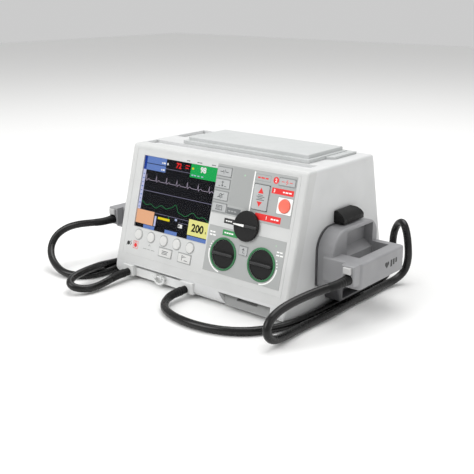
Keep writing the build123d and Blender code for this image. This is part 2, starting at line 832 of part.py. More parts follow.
capacitor_z = chassis_top + capacitor_radius
with BuildPart() as hv_capacitor:
    with BuildSketch(Plane.YZ.offset(capacitor_x0)):
        with Locations((capacitor_y, capacitor_z)):
            Circle(capacitor_radius)
    extrude(amount=capacitor_length)
    with BuildSketch(Plane.YZ.offset(capacitor_x0 - terminal_length)):
        with Locations((capacitor_y, capacitor_z + terminal_offset),
                       (capacitor_y, capacitor_z - terminal_offset)):
            Circle(terminal_radius)
    extrude(amount=terminal_length)
save(hv_capacitor, "hv_capacitor")

with BuildPart() as hv_inductor:
    with BuildSketch(Plane.XY.offset(chassis_top)):
        with Locations((inductor_x, inductor_y)):
            Circle(inductor_radius)
            Circle(inductor_bore, mode=Mode.SUBTRACT)
    extrude(amount=inductor_height)
save(hv_inductor, "hv_inductor")

speaker_x = -(chassis_x - chassis_thickness)
with BuildPart() as speaker:
    start = speaker_x
    for radius, depth in ((speaker_radius, speaker_rim_depth),
                          (speaker_cone_radius, speaker_cone_depth),
                          (speaker_magnet_radius, speaker_magnet_depth)):
        with BuildSketch(Plane.YZ.offset(start)):
            with Locations((speaker_y, speaker_z)):
                Circle(radius)
        extrude(amount=depth)
        start += depth
save(speaker, "speaker")

with BuildPart() as case_screws:
    head_z = foot_height + screw_head_sink - screw_head_height
    for x, y in screw_places:
        with BuildSketch(Plane.XY.offset(head_z)):
            with Locations((x, y)):
                Circle(screw_head_radius)
        extrude(amount=screw_head_height)
        with BuildSketch(Plane.XY.offset(head_z + screw_head_height)):
            with Locations((x, y)):
                Circle(screw_radius)
        extrude(amount=screw_length)
        with BuildSketch(Plane.XY.offset(head_z)):
            with Locations((x, y)):
                RegularPolygon(screw_hex_radius, 6)
        extrude(amount=screw_hex_depth, mode=Mode.SUBTRACT)
save(case_screws, "case_screws")

with BuildPart() as rubber_feet:
    with BuildSketch(Plane.XY):
        with Locations(*[(side * foot_x, y) for side in (-1, 1) for y in foot_ys]):
            Circle(foot_radius)
    extrude(amount=foot_height)
    chamfer(rubber_feet.faces().sort_by(Axis.Z)[:4].edges(), length=foot_edge)
save(rubber_feet, "rubber_feet")

# ================================================================ lower front
with BuildPart() as cable_connector:
    box_between(connector_x0, connector_x1, bar_face_y, connector_back_y, connector_z0, bar_top_z)
    box_between(connector_x0, connector_x0 + block_a_width, connector_face_y, connector_back_y,
                connector_z0, connector_z1)
    box_between(connector_x1 - block_b_width, connector_x1, connector_face_y, connector_back_y,
                connector_z0, connector_z1)
    fillet(cable_connector.faces().sort_by(Axis.Y)[:2].edges(), radius=connector_edge)
    for side in (-1, 1):
        x = ring_x + side * lug_offset
        box_between(x - lug_width / 2, x + lug_width / 2, ring_centre_y - lug_reach, bar_face_y,
                    ring_axis_z - lug_below, ring_axis_z + lug_above)
    with BuildSketch(Plane.YZ.offset(ring_x - ring_bore_length / 2)):
        with Locations((ring_centre_y, ring_axis_z)):
            Circle(ring_pin_radius + shaft_gap)
    extrude(amount=ring_bore_length, mode=Mode.SUBTRACT)
    for x, z in (gland_a, gland_b):
        with BuildSketch(Plane.XZ.offset(-connector_face_y)):
            with Locations((x, z)):
                Circle(spigot_radius + spigot_gap)
        extrude(amount=-gland_spigot - spigot_end_gap, mode=Mode.SUBTRACT)
save(cable_connector, "cable_connector")

with BuildPart() as connector_ring:
    with BuildSketch(Plane.XY.offset(ring_axis_z)):
        with Locations((ring_x - ring_loop_radius, ring_centre_y)):
            Circle(ring_wire_radius)
    revolve(axis=Axis((ring_x, ring_centre_y, ring_axis_z), (0, -1, 0)), revolution_arc=180)
    with BuildSketch(Plane.YZ.offset(ring_x - ring_loop_radius)):
        with Locations((ring_centre_y, ring_axis_z)):
            Circle(ring_pin_radius)
    extrude(amount=2 * ring_loop_radius)
save(connector_ring, "connector_ring")


def tapered_gland(plane, x, z, base_radius, nose_radius, length, spigot):
    """Make a cable gland on the plane's outer side, with a spigot into the part behind it."""
    with BuildSketch(plane) as foot:
        with Locations((x, z)):
            Circle(base_radius)
    with BuildSketch(plane.offset(length)) as nose:
        with Locations((x, z)):
            Circle(nose_radius)
    loft([foot.sketch, nose.sketch])
    with BuildSketch(plane) as bore:
        with Locations((x, z)):
            Circle(spigot_radius)
    extrude(bore.sketch, amount=-spigot)


connector_face = Plane.XZ.offset(-connector_face_y)
with BuildPart() as cord_glands:
    for x, z in (gland_a, gland_b):
        tapered_gland(connector_face, x, z, gland_radius, gland_nose_radius, gland_length,
                      gland_spigot)
save(cord_glands, "cord_glands")

with BuildPart() as card_slot:
    inner_back = pocket_back_y - fit_gap
    with BuildSketch(Plane.XZ.offset(-inner_back)):
        with BuildLine():
            Polyline(
                (pocket_x[0] + 3 * fit_gap, pocket_z1 - fit_gap),
                (pocket_x[2] - fit_gap, pocket_z1 - fit_gap),
                (pocket_x[2] - fit_gap, pocket_z0 + fit_gap),
                (pocket_x[1] + fit_gap, pocket_z0 + fit_gap), close=True,
            )
        make_face()
    extrude(amount=inner_back - card_front_y)
    slope = Plane(origin=(0, inner_back - card_slope_start, pocket_z1), x_dir=(1, 0, 0),
                  z_dir=(0, -card_slope, math.sqrt(1 - card_slope**2)))
    split(bisect_by=slope, keep=Keep.BOTTOM)
    box_between(slot_x0, slot_x1, card_front_y - 1, slot_back_y, slot_z0, slot_z1, Mode.SUBTRACT)
save(card_slot, "card_slot")

# ================================================================ holders, latches and paddles
holder_face = half_width + holder_thickness
paddle_back = holder_face + paddle_gap


def flip_to(side):
    """Turn the open right-hand piece into its left-hand twin when side is -1."""
    if side < 0:
        mirror(about=Plane.YZ, mode=Mode.REPLACE)


def cheek_outline(grow=0.0):
    """Give the corner points and radii of the paddle's tall cheek, moved outwards by grow."""
    points = [
        (cheek_y0 - grow, cheek_z0 - grow),
        (paddle_y1 + grow, cheek_z0 - grow),
        (paddle_y1 + grow, cheek_z1 + grow),
        (cheek_y0 - grow, cheek_z1 + grow),
    ]
    return points, [cheek_low_corner, cheek_low_corner, cheek_rear_corner + grow,
                    cheek_front_corner + grow]


boss_face = Plane.XZ.offset(-boss_front_y)

for hand, side in (("right", 1), ("left", -1)):
    with BuildPart() as holder:
        points, radii = cheek_outline(grow=holder_rim)
        with BuildSketch(Plane.YZ.offset(half_width)):
            with BuildLine():
                FilletPolyline(*points, radius=radii, close=True)
            make_face()
        extrude(amount=holder_thickness)
        with BuildSketch(Plane.YZ.offset(half_width)):
            with BuildLine():
                Polyline(
                    (ledge_y0, ledge_z1), (ledge_y1, ledge_z1), (ledge_y1, ledge_z0),
                    (ledge_y0 + ledge_slant, ledge_z0), close=True,
                )
            make_face()
        extrude(amount=ledge_reach)
        chamfer(holder.faces().sort_by(Axis.X)[-1].edges(), length=ledge_edge)
        box_between(half_width, half_width + holder_thickness, ledge_y0 + ledge_slant,
                    ledge_y1, ledge_z0, cheek_z0)
        hole_y0, hole_y1, hole_z0, hole_z1 = ledge_hole
        box_between(half_width + ledge_reach - ledge_hole_depth, half_width + ledge_reach + 1,
                    hole_y0, hole_y1, hole_z0, hole_z1, Mode.SUBTRACT)
        flip_to(side)
    save(holder, f"{hand}_holder")

    with BuildPart() as latch:
        root_x = half_width + latch_stand_off
        pin_x = root_x + latch_pin_drop
        pin_z = latch_top_z - latch_pin_drop
        tip_x = half_width + latch_reach
        with BuildSketch(Plane.XZ.offset(-latch_y1)):
            with BuildLine():
                foot = Line((root_x, latch_bottom_z), (tip_x, latch_bottom_z))
                rise = Line(foot @ 1, (tip_x, latch_bottom_z + latch_face_height))
                crown_middle = (tip_x - latch_crown_back, latch_top_z - latch_crown_drop)
                crown = ThreePointArc(rise @ 1, crown_middle, (pin_x, latch_top_z))
                knuckle = RadiusArc(crown @ 1, (root_x, pin_z), -latch_pin_drop)
                Line(knuckle @ 1, foot @ 0)
            make_face()
        extrude(amount=latch_y1 - latch_y0)
        with BuildSketch(Plane.YZ.offset(half_width)):
            with BuildLine():
                FilletPolyline(
                    (latch_y0, latch_bottom_z), (latch_y1, latch_bottom_z),
                    (latch_y1, latch_top_z), (latch_y0, latch_top_z),
                    radius=[latch_foot_corner, latch_foot_corner, latch_rear_corner,
                            latch_front_corner], close=True,
                )
            make_face()
        extrude(amount=latch_reach + 1, mode=Mode.INTERSECT)
        flip_to(side)
    save(latch, f"{hand}_latch")

    with BuildPart() as paddle:
        points, radii = cheek_outline()
        with BuildSketch(Plane.YZ.offset(paddle_back)):
            with BuildLine():
                FilletPolyline(*points, radius=radii, close=True)
            make_face()
        extrude(amount=half_width + cheek_reach - paddle_back)
        fillet(paddle.faces().sort_by(Axis.X)[-1].edges(), radius=cheek_edge)
        # handle that stands out from the cheek
        box_between(half_width + cheek_reach / 2, handle_out_x, paddle_y0, paddle_y1,
                    handle_z0, handle_z1)
        fillet(paddle.edges().filter_by(Axis.Z).sort_by(Axis.X)[-2:], radius=handle_corner)
        fillet(paddle.faces().sort_by(Axis.X)[-1].edges(), radius=handle_edge)
        # boss at the outer front corner, for the shock key and the cable
        box_between(half_width + boss_reach_0, half_width + boss_reach_1, boss_front_y,
                    paddle_y0 + handle_corner, boss_z0, handle_z1)
        fillet(paddle.faces().sort_by(Axis.Y)[0].edges(), radius=boss_edge)
        # finger hole and the hollow for the knuckles above it
        box_between(half_width + cheek_reach, grip_hole_out_x, grip_hole_y0, grip_hole_y1,
                    handle_z0 - 1, handle_z1 + 1, Mode.SUBTRACT)
        hollow_x = half_width + cheek_reach
        with BuildSketch(Plane.XZ.offset(-knuckle_y1)):
            with BuildLine():
                Polyline(
                    (hollow_x + 1, knuckle_zs[0]), (hollow_x - knuckle_depth, knuckle_zs[1]),
                    (hollow_x - knuckle_depth, knuckle_zs[2]), (hollow_x + 1, knuckle_zs[3]),
                    close=True,
                )
            make_face()
        extrude(amount=knuckle_y1 - knuckle_y0, mode=Mode.SUBTRACT)
        # well of the shock key and bore of the cable relief
        box_between(shock_key_x - shock_key_width / 2 - slide_gap,
                    shock_key_x + shock_key_width / 2 + slide_gap, boss_front_y - 1,
                    boss_front_y + shock_key_well,
                    shock_key_z - shock_key_height / 2 - slide_gap,
                    shock_key_z + shock_key_height / 2 + slide_gap, Mode.SUBTRACT)
        with BuildSketch(boss_face):
            with Locations((paddle_cord_x, paddle_cord_z)):
                Circle(spigot_radius + spigot_gap)
        extrude(amount=-relief_spigot - spigot_end_gap, mode=Mode.SUBTRACT)
        # seat of the electrode plate
        plate_y, plate_z = electrode_centre
        plate_width, plate_height = electrode_size
        with BuildSketch(Plane.YZ.offset(paddle_back)):
            with Locations((plate_y, plate_z)):
                RectangleRounded(plate_width + 2 * fit_gap, plate_height + 2 * fit_gap,
                                 electrode_corner + fit_gap)
        extrude(amount=electrode_thickness, mode=Mode.SUBTRACT)
        flip_to(side)
    save(paddle, f"{hand}_paddle")

    with BuildPart() as electrode:
        with BuildSketch(Plane.YZ.offset(paddle_back)):
            with Locations((plate_y, plate_z)):
                RectangleRounded(plate_width, plate_height, electrode_corner)
        extrude(amount=electrode_thickness)
        flip_to(side)
    save(electrode, f"{hand}_electrode")

    with BuildPart() as shock_key:
        box_between(shock_key_x - shock_key_width / 2, shock_key_x + shock_key_width / 2,
                    boss_front_y - shock_key_proud,
                    boss_front_y + shock_key_well - shock_key_travel - slide_gap,
                    shock_key_z - shock_key_height / 2, shock_key_z + shock_key_height / 2)
        fillet(shock_key.faces().sort_by(Axis.Y)[0].edges(), radius=cap_edge)
        flip_to(side)
    save(shock_key, f"{hand}_shock_key")

    with BuildPart() as relief:
        tapered_gland(boss_face, paddle_cord_x, paddle_cord_z, relief_radius,
                      relief_nose_radius, relief_length, relief_spigot)
        flip_to(side)
    save(relief, f"{hand}_relief")

# ================================================================ cords
nose_y = connector_face_y - gland_length
relief_y = boss_front_y - relief_length

# Each route runs from the cable connector along the ground to its paddle.
right_route = [
    (gland_b[0], nose_y, gland_b[1]), (gland_b[0], nose_y - cord_straight_out, gland_b[1]),
    (-9, -133, 7.4), (-0.5, -146, 5.2), (16, -155.5, cord_rest_z), (38, -160.5, cord_rest_z),
    (64, -161, cord_rest_z + 0.1), (90, -154.5, cord_rest_z), (112, -141, cord_rest_z),
    (127, -120, cord_rest_z), (135.5, -96, cord_rest_z), (139, -68, cord_rest_z),
    (138.6, -35, cord_rest_z), (139.6, 2, cord_rest_z), (139.2, 36, cord_rest_z),
    (140.6, 68, cord_rest_z), (141.5, 92, 8.8), (138, 109, 21), (132.5, 119, 37),
    (131, 123, 54), (136.8, 121.5, 67), (146.8, 115.5, 72), (155, 110, 63),
    (159.6, 107.5, 48), (161.8, 106.5, 31), (160, 103, 15.5), (154.6, 91.5, 6.6),
    (151, 70, cord_rest_z), (151.4, 35, cord_rest_z), (150.4, -4, cord_rest_z),
    (151.4, -42, cord_rest_z), (149.6, -76, cord_rest_z), (148.8, -105, cord_rest_z),
    (150.2, -130, 5.2), (151.6, -148, 8.6), (151.2, -156.5, 18.5), (149.8, -151.5, 29),
    (150.6, -137.5, 36), (154.6, -120.5, 41), (161, -104, 45.2), (169.4, -89.5, 49.4),
    (177.2, -80, 52.4), (paddle_cord_x, relief_y - cord_straight_in, paddle_cord_z),
    (paddle_cord_x, relief_y, paddle_cord_z),
]
left_route = [
    (gland_a[0], nose_y, gland_a[1]), (gland_a[0], nose_y - cord_straight_out, gland_a[1]),
    (-104.6, -135, 7.2), (-103, -152, 5.8), (-104.4, -167.5, 6.2), (-112.4, -178, 8.6),
    (-122.4, -178.6, 11.8), (-129.2, -168.5, 14.8), (-131.6, -152, 16.4),
    (-133.4, -135, 16.6), (-137.8, -117, 15), (-144.4, -98, 11), (-149.6, -74, 7),
    (-151.2, -46, cord_rest_z), (-150.8, -12, cord_rest_z), (-151.8, 22, cord_rest_z),
    (-154, 54, cord_rest_z), (-165, 80, cord_rest_z), (-181, 101, cord_rest_z),
    (-189.5, 126, cord_rest_z), (-180.5, 151, cord_rest_z), (-158, 162, cord_rest_z),
    (-138, 150, cord_rest_z), (-132, 126, cord_rest_z), (-137.4, 100, cord_rest_z),
    (-140.2, 70, cord_rest_z), (-139, 36, cord_rest_z), (-139.8, -4, cord_rest_z),
    (-138.6, -42, cord_rest_z), (-139, -78, cord_rest_z), (-137, -106, cord_rest_z),
    (-141, -128, cord_rest_z), (-153, -142.5, cord_rest_z), (-170.5, -147.5, 5.4),
    (-189, -145, 9.2), (-206, -139.5, 16.8), (-217, -130.5, 27), (-219.5, -119.5, 38),
    (-212, -108.5, 47), (-199.5, -98.5, 51.8), (-187.5, -87.5, 53.3),
    (-181.4, -79.5, 53.6), (-paddle_cord_x, relief_y - cord_straight_in, paddle_cord_z),
    (-paddle_cord_x, relief_y, paddle_cord_z),
]


def arc_radii(route):
    """Work out the tangent arc at each corner of a route from the shorter of its two runs."""
    radii = []
    for before, corner, after in zip(route, route[1:], route[2:]):
        run_in = Vector(*corner) - Vector(*before)
        run_out = Vector(*after) - Vector(*corner)
        half_turn = math.radians(run_in.get_angle(run_out)) / 2
        radii.append(cord_bend_share * min(run_in.length, run_out.length) / math.tan(half_turn))
    return radii


for name, route in (("right_cord", right_route), ("left_cord", left_route)):
    bends = arc_radii(route)
    with BuildPart() as cord:
        with BuildLine():
            path = FilletPolyline(*route, radius=bends)
        with BuildSketch(Plane(origin=path @ 0, z_dir=path % 0)):
            Circle(cord_diameter / 2)
        sweep()
    save(cord, name)
    length = path.length
    print(name, "length", round(length, 1), "volume ratio",
          round(cord.part.volume / (math.pi * cord_diameter**2 / 4 * length), 4))
    print("  radii", [round(r, 1) for r in bends])
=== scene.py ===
"""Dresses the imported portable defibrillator: finishes, printed panel, live screen, knobs and cords.

Places on the control panel are (u, v, lift) in millimetres: u from its middle to the right, v up it
from its lower edge, lift out from its face. Everything else is in metres in the frame's own axes.
"""
import json
import logging
import math
from dataclasses import dataclass, field
from enum import Enum
from functools import cache
from itertools import accumulate

import bpy
import numpy as np
from mathutils import Euler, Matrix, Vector

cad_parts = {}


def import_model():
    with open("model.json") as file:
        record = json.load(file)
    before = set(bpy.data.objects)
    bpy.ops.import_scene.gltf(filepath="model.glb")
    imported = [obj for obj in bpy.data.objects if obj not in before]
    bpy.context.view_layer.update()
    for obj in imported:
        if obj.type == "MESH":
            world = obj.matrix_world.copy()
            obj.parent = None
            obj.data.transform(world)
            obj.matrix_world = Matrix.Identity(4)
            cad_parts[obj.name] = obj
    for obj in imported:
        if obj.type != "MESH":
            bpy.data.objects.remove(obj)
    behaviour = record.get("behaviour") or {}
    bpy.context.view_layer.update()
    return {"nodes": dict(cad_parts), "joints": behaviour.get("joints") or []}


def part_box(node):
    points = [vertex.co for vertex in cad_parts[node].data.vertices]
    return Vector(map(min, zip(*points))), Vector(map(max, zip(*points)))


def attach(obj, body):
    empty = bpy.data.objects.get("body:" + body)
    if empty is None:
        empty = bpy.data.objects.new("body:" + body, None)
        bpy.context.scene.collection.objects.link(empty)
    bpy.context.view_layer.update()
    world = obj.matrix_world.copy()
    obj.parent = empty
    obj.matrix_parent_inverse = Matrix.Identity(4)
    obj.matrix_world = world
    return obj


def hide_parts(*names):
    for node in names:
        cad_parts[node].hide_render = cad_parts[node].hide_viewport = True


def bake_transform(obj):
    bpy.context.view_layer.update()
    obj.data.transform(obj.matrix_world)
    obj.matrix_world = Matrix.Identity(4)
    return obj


LOG = logging.getLogger("defibrillator")
MM = 0.001
TURN = 2 * math.pi
CASE = "case"
# The back's foot in metres, and how far it leans in over its height.
BACK_FOOT = [0.0, 0.1015, 0.003]
BACK_RUN, BACK_RISE = 35.5, 156.8


def linear(code: str) -> tuple[float, float, float, float]:
    """Turn a six-digit hexadecimal display colour into linear light.

    Args:
        code: the colour, such as "c3c3c1".

    Returns:
        Linear red, green, blue and an alpha of 1.
    """
    shown = np.array([int(code[i:i + 2], 16) for i in (0, 2, 4)]) / 255
    light = np.where(shown <= 0.04045, shown / 12.92, ((shown + 0.055) / 1.055) ** 2.4)
    return (*light.tolist(), 1.0)


# ---------------------------------------------------------------- finishes
class Shader:
    """A node tree under construction, with the few links that every finish needs."""

    def __init__(self, name: str, colour: str, roughness: float) -> None:
        """Start a material whose shader has one colour and one roughness."""
        self.material = bpy.data.materials.new(f"{name}_look")
        self.material.use_nodes = True
        self.tree = self.material.node_tree
        self.surface = self.tree.nodes["Principled BSDF"]
        self.surface.inputs["Base Color"].default_value = linear(colour)
        self.surface.inputs["Roughness"].default_value = roughness
        self.material.diffuse_color = linear(colour)

    def noise(self, size: float, stretch: tuple[float, float, float] = (1, 1, 1),
              detail: float = 2.0) -> bpy.types.NodeSocket:
        """Add a noise pattern on object coordinates.

        Args:
            size: how large one blotch is, in metres.
            stretch: how much longer the blotch is along each axis.
            detail: the number of finer layers.

        Returns:
            The pattern's value socket, about 0.5 on average.
        """
        place = self.tree.nodes.new("ShaderNodeTexCoord")
        scale = self.tree.nodes.new("ShaderNodeMapping")
        scale.inputs["Scale"].default_value = [1 / (size * s) for s in stretch]
        pattern = self.tree.nodes.new("ShaderNodeTexNoise")
        pattern.inputs["Scale"].default_value = 1.0
        pattern.inputs["Detail"].default_value = detail
        self.tree.links.new(place.outputs["Object"], scale.inputs["Vector"])
        self.tree.links.new(scale.outputs["Vector"], pattern.inputs["Vector"])
        return pattern.outputs["Fac"]

    def vary(self, pattern: bpy.types.NodeSocket, socket: str, low: float, high: float) -> None:
        """Drive a shader value by a pattern, between low and high."""
        spread = self.tree.nodes.new("ShaderNodeMapRange")
        spread.inputs["From Min"].default_value = 0.3
        spread.inputs["From Max"].default_value = 0.7
        spread.inputs["To Min"].default_value = low
        spread.inputs["To Max"].default_value = high
        self.tree.links.new(pattern, spread.inputs["Value"])
        self.tree.links.new(spread.outputs["Result"], self.surface.inputs[socket])

    def mottle(self, pattern: bpy.types.NodeSocket, dark: str, light: str) -> None:
        """Blend the base colour between two close shades by a pattern."""
        blend = self.tree.nodes.new("ShaderNodeValToRGB")
        blend.color_ramp.elements[0].position = 0.3
        blend.color_ramp.elements[0].color = linear(dark)
        blend.color_ramp.elements[1].position = 0.7
        blend.color_ramp.elements[1].color = linear(light)
        self.tree.links.new(pattern, blend.inputs["Fac"])
        self.tree.links.new(blend.outputs["Color"], self.surface.inputs["Base Color"])

    def bump(self, pattern: bpy.types.NodeSocket, depth: float, strength: float = 1.0) -> None:
        """Raise the surface by a pattern, depth metres from its lowest to its highest."""
        relief = self.tree.nodes.new("ShaderNodeBump")
        relief.inputs["Strength"].default_value = strength
        relief.inputs["Distance"].default_value = depth
        self.tree.links.new(pattern, relief.inputs["Height"])
        self.tree.links.new(relief.outputs["Normal"], self.surface.inputs["Normal"])


@dataclass(frozen=True)
class Moulded:
    """A moulded plastic or rubber with a fine eroded grain and a faint mottle."""

    name: str
    dark: str
    light: str
    roughness: float = 0.45
    grain: float = 0.0006
    depth: float = 0.00003
    coat: float = 0.0
    sheen: float = 0.5

    def make(self) -> bpy.types.Material:
        """Build the material, with sheen as its share of mirror-like reflection."""
        shader = Shader(self.name, self.light, self.roughness)
        shader.surface.inputs["Specular IOR Level"].default_value = self.sheen
        blotch = shader.noise(0.03)
        shader.mottle(blotch, self.dark, self.light)
        shader.vary(shader.noise(0.008), "Roughness", self.roughness - 0.04, self.roughness + 0.05)
        shader.bump(shader.noise(self.grain, detail=3.0), self.depth, 0.5)
        if self.coat:
            shader.surface.inputs["Coat Weight"].default_value = self.coat
            shader.surface.inputs["Coat Roughness"].default_value = 0.12
        return shader.material


@dataclass(frozen=True)
class Metal:
    """A bare metal with scratches drawn along one axis."""

    name: str
    dark: str
    light: str
    roughness: float = 0.3
    stretch: tuple[float, float, float] = (1, 60, 1)

    def make(self) -> bpy.types.Material:
        """Build the material."""
        shader = Shader(self.name, self.light, self.roughness)
        shader.surface.inputs["Metallic"].default_value = 1.0
        lines = shader.noise(0.0005, self.stretch, detail=4.0)
        shader.mottle(lines, self.dark, self.light)
        shader.vary(lines, "Roughness", self.roughness - 0.08, self.roughness + 0.1)
        shader.bump(lines, 0.00001, 0.4)
        return shader.material


@dataclass(frozen=True)
class Ink:
    """A screen-printed colour, with the slight unevenness of the film under it."""

    name: str
    colour: str
    roughness: float = 0.5

    def make(self) -> bpy.types.Material:
        """Build the material."""
        shader = Shader(self.name, self.colour, self.roughness)
        shader.vary(shader.noise(0.004), "Roughness", self.roughness - 0.06, self.roughness + 0.06)
        shader.bump(shader.noise(0.0007), 0.00001, 0.3)
        return shader.material


@dataclass(frozen=True)
class Glow:
    """A colour of the lit screen, which shines through the glass by itself."""

    name: str
    colour: str
    strength: float = 0.95

    def make(self) -> bpy.types.Material:
        """Build the material."""
        shader = Shader(self.name, "020204", 0.6)
        shader.surface.inputs["Specular IOR Level"].default_value = 0.1
        shader.surface.inputs["Emission Color"].default_value = linear(self.colour)
        shader.surface.inputs["Emission Strength"].default_value = self.strength
        shader.vary(shader.noise(0.002), "Roughness", 0.55, 0.65)
        return shader.material


@dataclass(frozen=True)
class Clear:
    """A clear or tinted plastic that shows what is behind it."""

    name: str
    colour: str
    roughness: float
    alpha: float

    def make(self) -> bpy.types.Material:
        """Build the material."""
        shader = Shader(self.name, self.colour, self.roughness)
        shader.surface.inputs["Alpha"].default_value = self.alpha
        shader.surface.inputs["IOR"].default_value = 1.46
        shader.vary(shader.noise(0.02), "Roughness", self.roughness, self.roughness + 0.04)
        return shader.material


class Finish(Enum):
    """Every finish of the object, by the maker's name for it."""

    CASE = Moulded("case_plastic", "d0d1d1", "d6d7d7", 0.42)
    PANEL = Moulded("panel_plastic", "c9cac9", "cfd0cf", 0.46)
    BATTERY = Moulded("battery_plastic", "c0c3c2", "c7c9c9", 0.4)
    CONNECTOR = Moulded("connector_plastic", "d6d7d6", "dedfde", 0.36)
    PADDLE = Moulded("paddle_plastic", "8b8b8d", "959597", 0.4, 0.0008, 0.00004)
    # Dark grey that is partly the holders' own plastic and partly painted shade under the paddles.
    HOLDER = Moulded("holder_plastic_and_shade", "4a4a4c", "545456", 0.5)
    POCKET = Moulded("card_unit_plastic", "8c8d8c", "989998", 0.5)
    BLACK = Moulded("black_plastic", "080808", "0e0e0e", 0.45, 0.0005, 0.00003, sheen=0.3)
    BAR = Moulded("knob_bar_plastic", "1d1d1e", "262627", 0.4, 0.0005, 0.00003)
    KEY = Moulded("key_plastic", "aeb0b0", "b6b8b8", 0.38)
    SOFT_KEY = Moulded("soft_key_rubber", "d0d0ce", "d8d8d6", 0.5, 0.0004, 0.00002)
    SHOCK = Moulded("shock_plastic", "ee6a55", "f4745f", 0.35, coat=0.3)
    SHOCK_KEY = Moulded("paddle_key_plastic", "b8b8b8", "c2c2c1", 0.36)
    CABLE = Moulded("cable_jacket", "040404", "080808", 0.28, 0.0012, 0.00004, 0.12, 0.35)
    GLAND = Moulded("gland_rubber", "060606", "0c0c0c", 0.5, sheen=0.3)
    FOOT = Moulded("foot_rubber", "121212", "1c1c1c", 0.8)
    REAR = Moulded("rear_plastic", "47484a", "505154", 0.55)
    MECHANISM = Moulded("mechanism_plastic", "191919", "232323", 0.6)
    BOARD = Moulded("board_mask", "0c3d1f", "12502a", 0.35, 0.002, 0.00005, coat=0.4)
    PAPER = Moulded("chart_paper", "eeece4", "f6f4ee", 0.8)
    FILM = Ink("label_film", "a9abaa", 0.42)
    STEEL = Metal("electrode_steel", "b9babb", "d6d7d8", 0.28)
    ZINC = Metal("zinc_sheet", "a4a7aa", "bcbfc2", 0.4)
    CAN = Metal("capacitor_can", "b6b6b9", "c9c9cc", 0.35, (60, 1, 1))
    COPPER = Metal("winding_copper", "9a5a34", "b9724a", 0.35, (1, 1, 60))
    GLASS = Clear("window_glass", "10141a", 0.05, 0.08)
    RING = Moulded("ring_green_plastic", "27693f", "31794a", 0.3, coat=0.3)
    INK_RED = Ink("ink_red", "e2211f")
    INK_WHITE = Ink("ink_white", "f6f6f4")
    INK_BLACK = Ink("ink_black", "1d1d1d")
    INK_GREEN = Ink("ink_green", "2f8f4e")
    INK_DARK = Ink("ink_dark_grey", "6c6f70")
    # Mid grey for printed lines, and for the painted shade lines round the keys.
    INK_MID = Ink("ink_mid_grey_and_shade", "949797")
    INK_LEGEND = Ink("ink_legend", "4d5052")
    INK_PALE = Ink("ink_pale_green", "a9c9ae")
    INK_SHADE = Ink("ink_speaker_grey", "a0a2a1")
    LIT_BLACK = Glow("lit_black", "06060c")
    LIT_NAVY = Glow("lit_navy", "1c3f9e")
    LIT_BLUE = Glow("lit_blue", "6c8bd0")
    LIT_PALE = Glow("lit_pale_blue", "b9c6ea")
    LIT_LILAC = Glow("lit_lilac", "cfd2f3")
    LIT_RED = Glow("lit_red", "ff2a26")
    LIT_GREEN = Glow("lit_green", "16b558")
    LIT_TRACE = Glow("lit_trace", "2f9d57")
    LIT_ECG = Glow("lit_ecg", "c4b8cf")
    LIT_GREY = Glow("lit_grey", "8d8aa5")
    LIT_PEACH = Glow("lit_peach", "fbbd92")
    LIT_YELLOW = Glow("lit_yellow", "f5e11e")
    LIT_CREAM = Glow("lit_cream", "fbf79b")
    LIT_WHITE = Glow("lit_white", "fdfdfd")

    @cache
    def material(self) -> bpy.types.Material:
        """Give the finish's one material, built on first use."""
        return self.value.make()


# ---------------------------------------------------------------- places and meshes
@dataclass(frozen=True)
class Face:
    """A flat face of the object, with its own (u, v, lift) in millimetres."""

    origin: np.ndarray
    across: np.ndarray
    up: np.ndarray
    out: np.ndarray

    @classmethod
    def from_axis(cls, point: list[float], out: list[float], across: tuple[float, float, float],
                  u: float, v: float) -> "Face":
        """Find a face from one known point on it and the direction it looks.

        Args:
            point: the known point, in metres.
            out: the face's outward direction.
            across: the direction of u.
            u: the known point's u, in millimetres.
            v: the known point's v, in millimetres.

        Returns:
            The face, whose up is out crossed with across.
        """
        normal = np.array(out, float) / np.linalg.norm(out)
        side = np.array(across, float)
        rise = np.cross(normal, side)
        return cls(np.array(point, float) - (u * side + v * rise) * MM, side, rise, normal)

    def place(self, flat: np.ndarray, lift: float | np.ndarray) -> np.ndarray:
        """Turn (n, 2) places on the face and their lifts into points in metres."""
        rise = np.broadcast_to(np.asarray(lift, float), flat.shape[:1])[:, None]
        return self.origin + (flat[:, :1] * self.across + flat[:, 1:2] * self.up
                              + rise * self.out) * MM


def new_piece(name: str, points: np.ndarray, faces: list, finish: Finish,
              crease: float = 35.0) -> bpy.types.Object:
    """Make a mesh object from computed points and faces.

    Args:
        name: the piece's name.
        points: (n, 3) points in metres.
        faces: the faces, as rows of point numbers.
        finish: what it is made of.
        crease: edges that turn by more degrees than this stay sharp.

    Returns:
        The object, at the origin.
    """
    mesh = bpy.data.meshes.new(name)
    mesh.from_pydata(points.tolist(), [], faces)
    mesh.materials.append(finish.material())
    mesh.shade_smooth()
    mesh.set_sharp_from_angle(angle=math.radians(crease))
    mesh.update()
    piece = bpy.data.objects.new(name, mesh)
    bpy.context.scene.collection.objects.link(piece)
    return piece


def grid_faces(rows: int, columns: int, start: int = 0, closed: bool = True) -> list[list[int]]:
    """Join a grid of points by quads, row to row, and round each row when it is closed."""
    across = np.arange(columns if closed else columns - 1)
    low = (start + np.arange(rows - 1) * columns)[:, None]
    after = (across + 1) % columns
    quads = np.stack([low + across, low + after, low + columns + after, low + columns + across], 2)
    return quads.reshape(-1, 4).tolist()


def stadium(half_length: float, count: int = 48) -> tuple[np.ndarray, np.ndarray]:
    """Give the spine points and outward directions of a circle drawn out to both sides.

    The direction goes once round the circle, and the spine point is half_length to the side that
    the direction looks to, so a half_length of 0 is a plain circle.
    """
    angle = np.arange(count) * TURN / count
    ways = np.stack([np.cos(angle), np.sin(angle)], 1)
    side = np.where(ways[:, :1] >= 0, 1.0, -1.0)
    return np.hstack([side * half_length, np.zeros((count, 1))]), ways


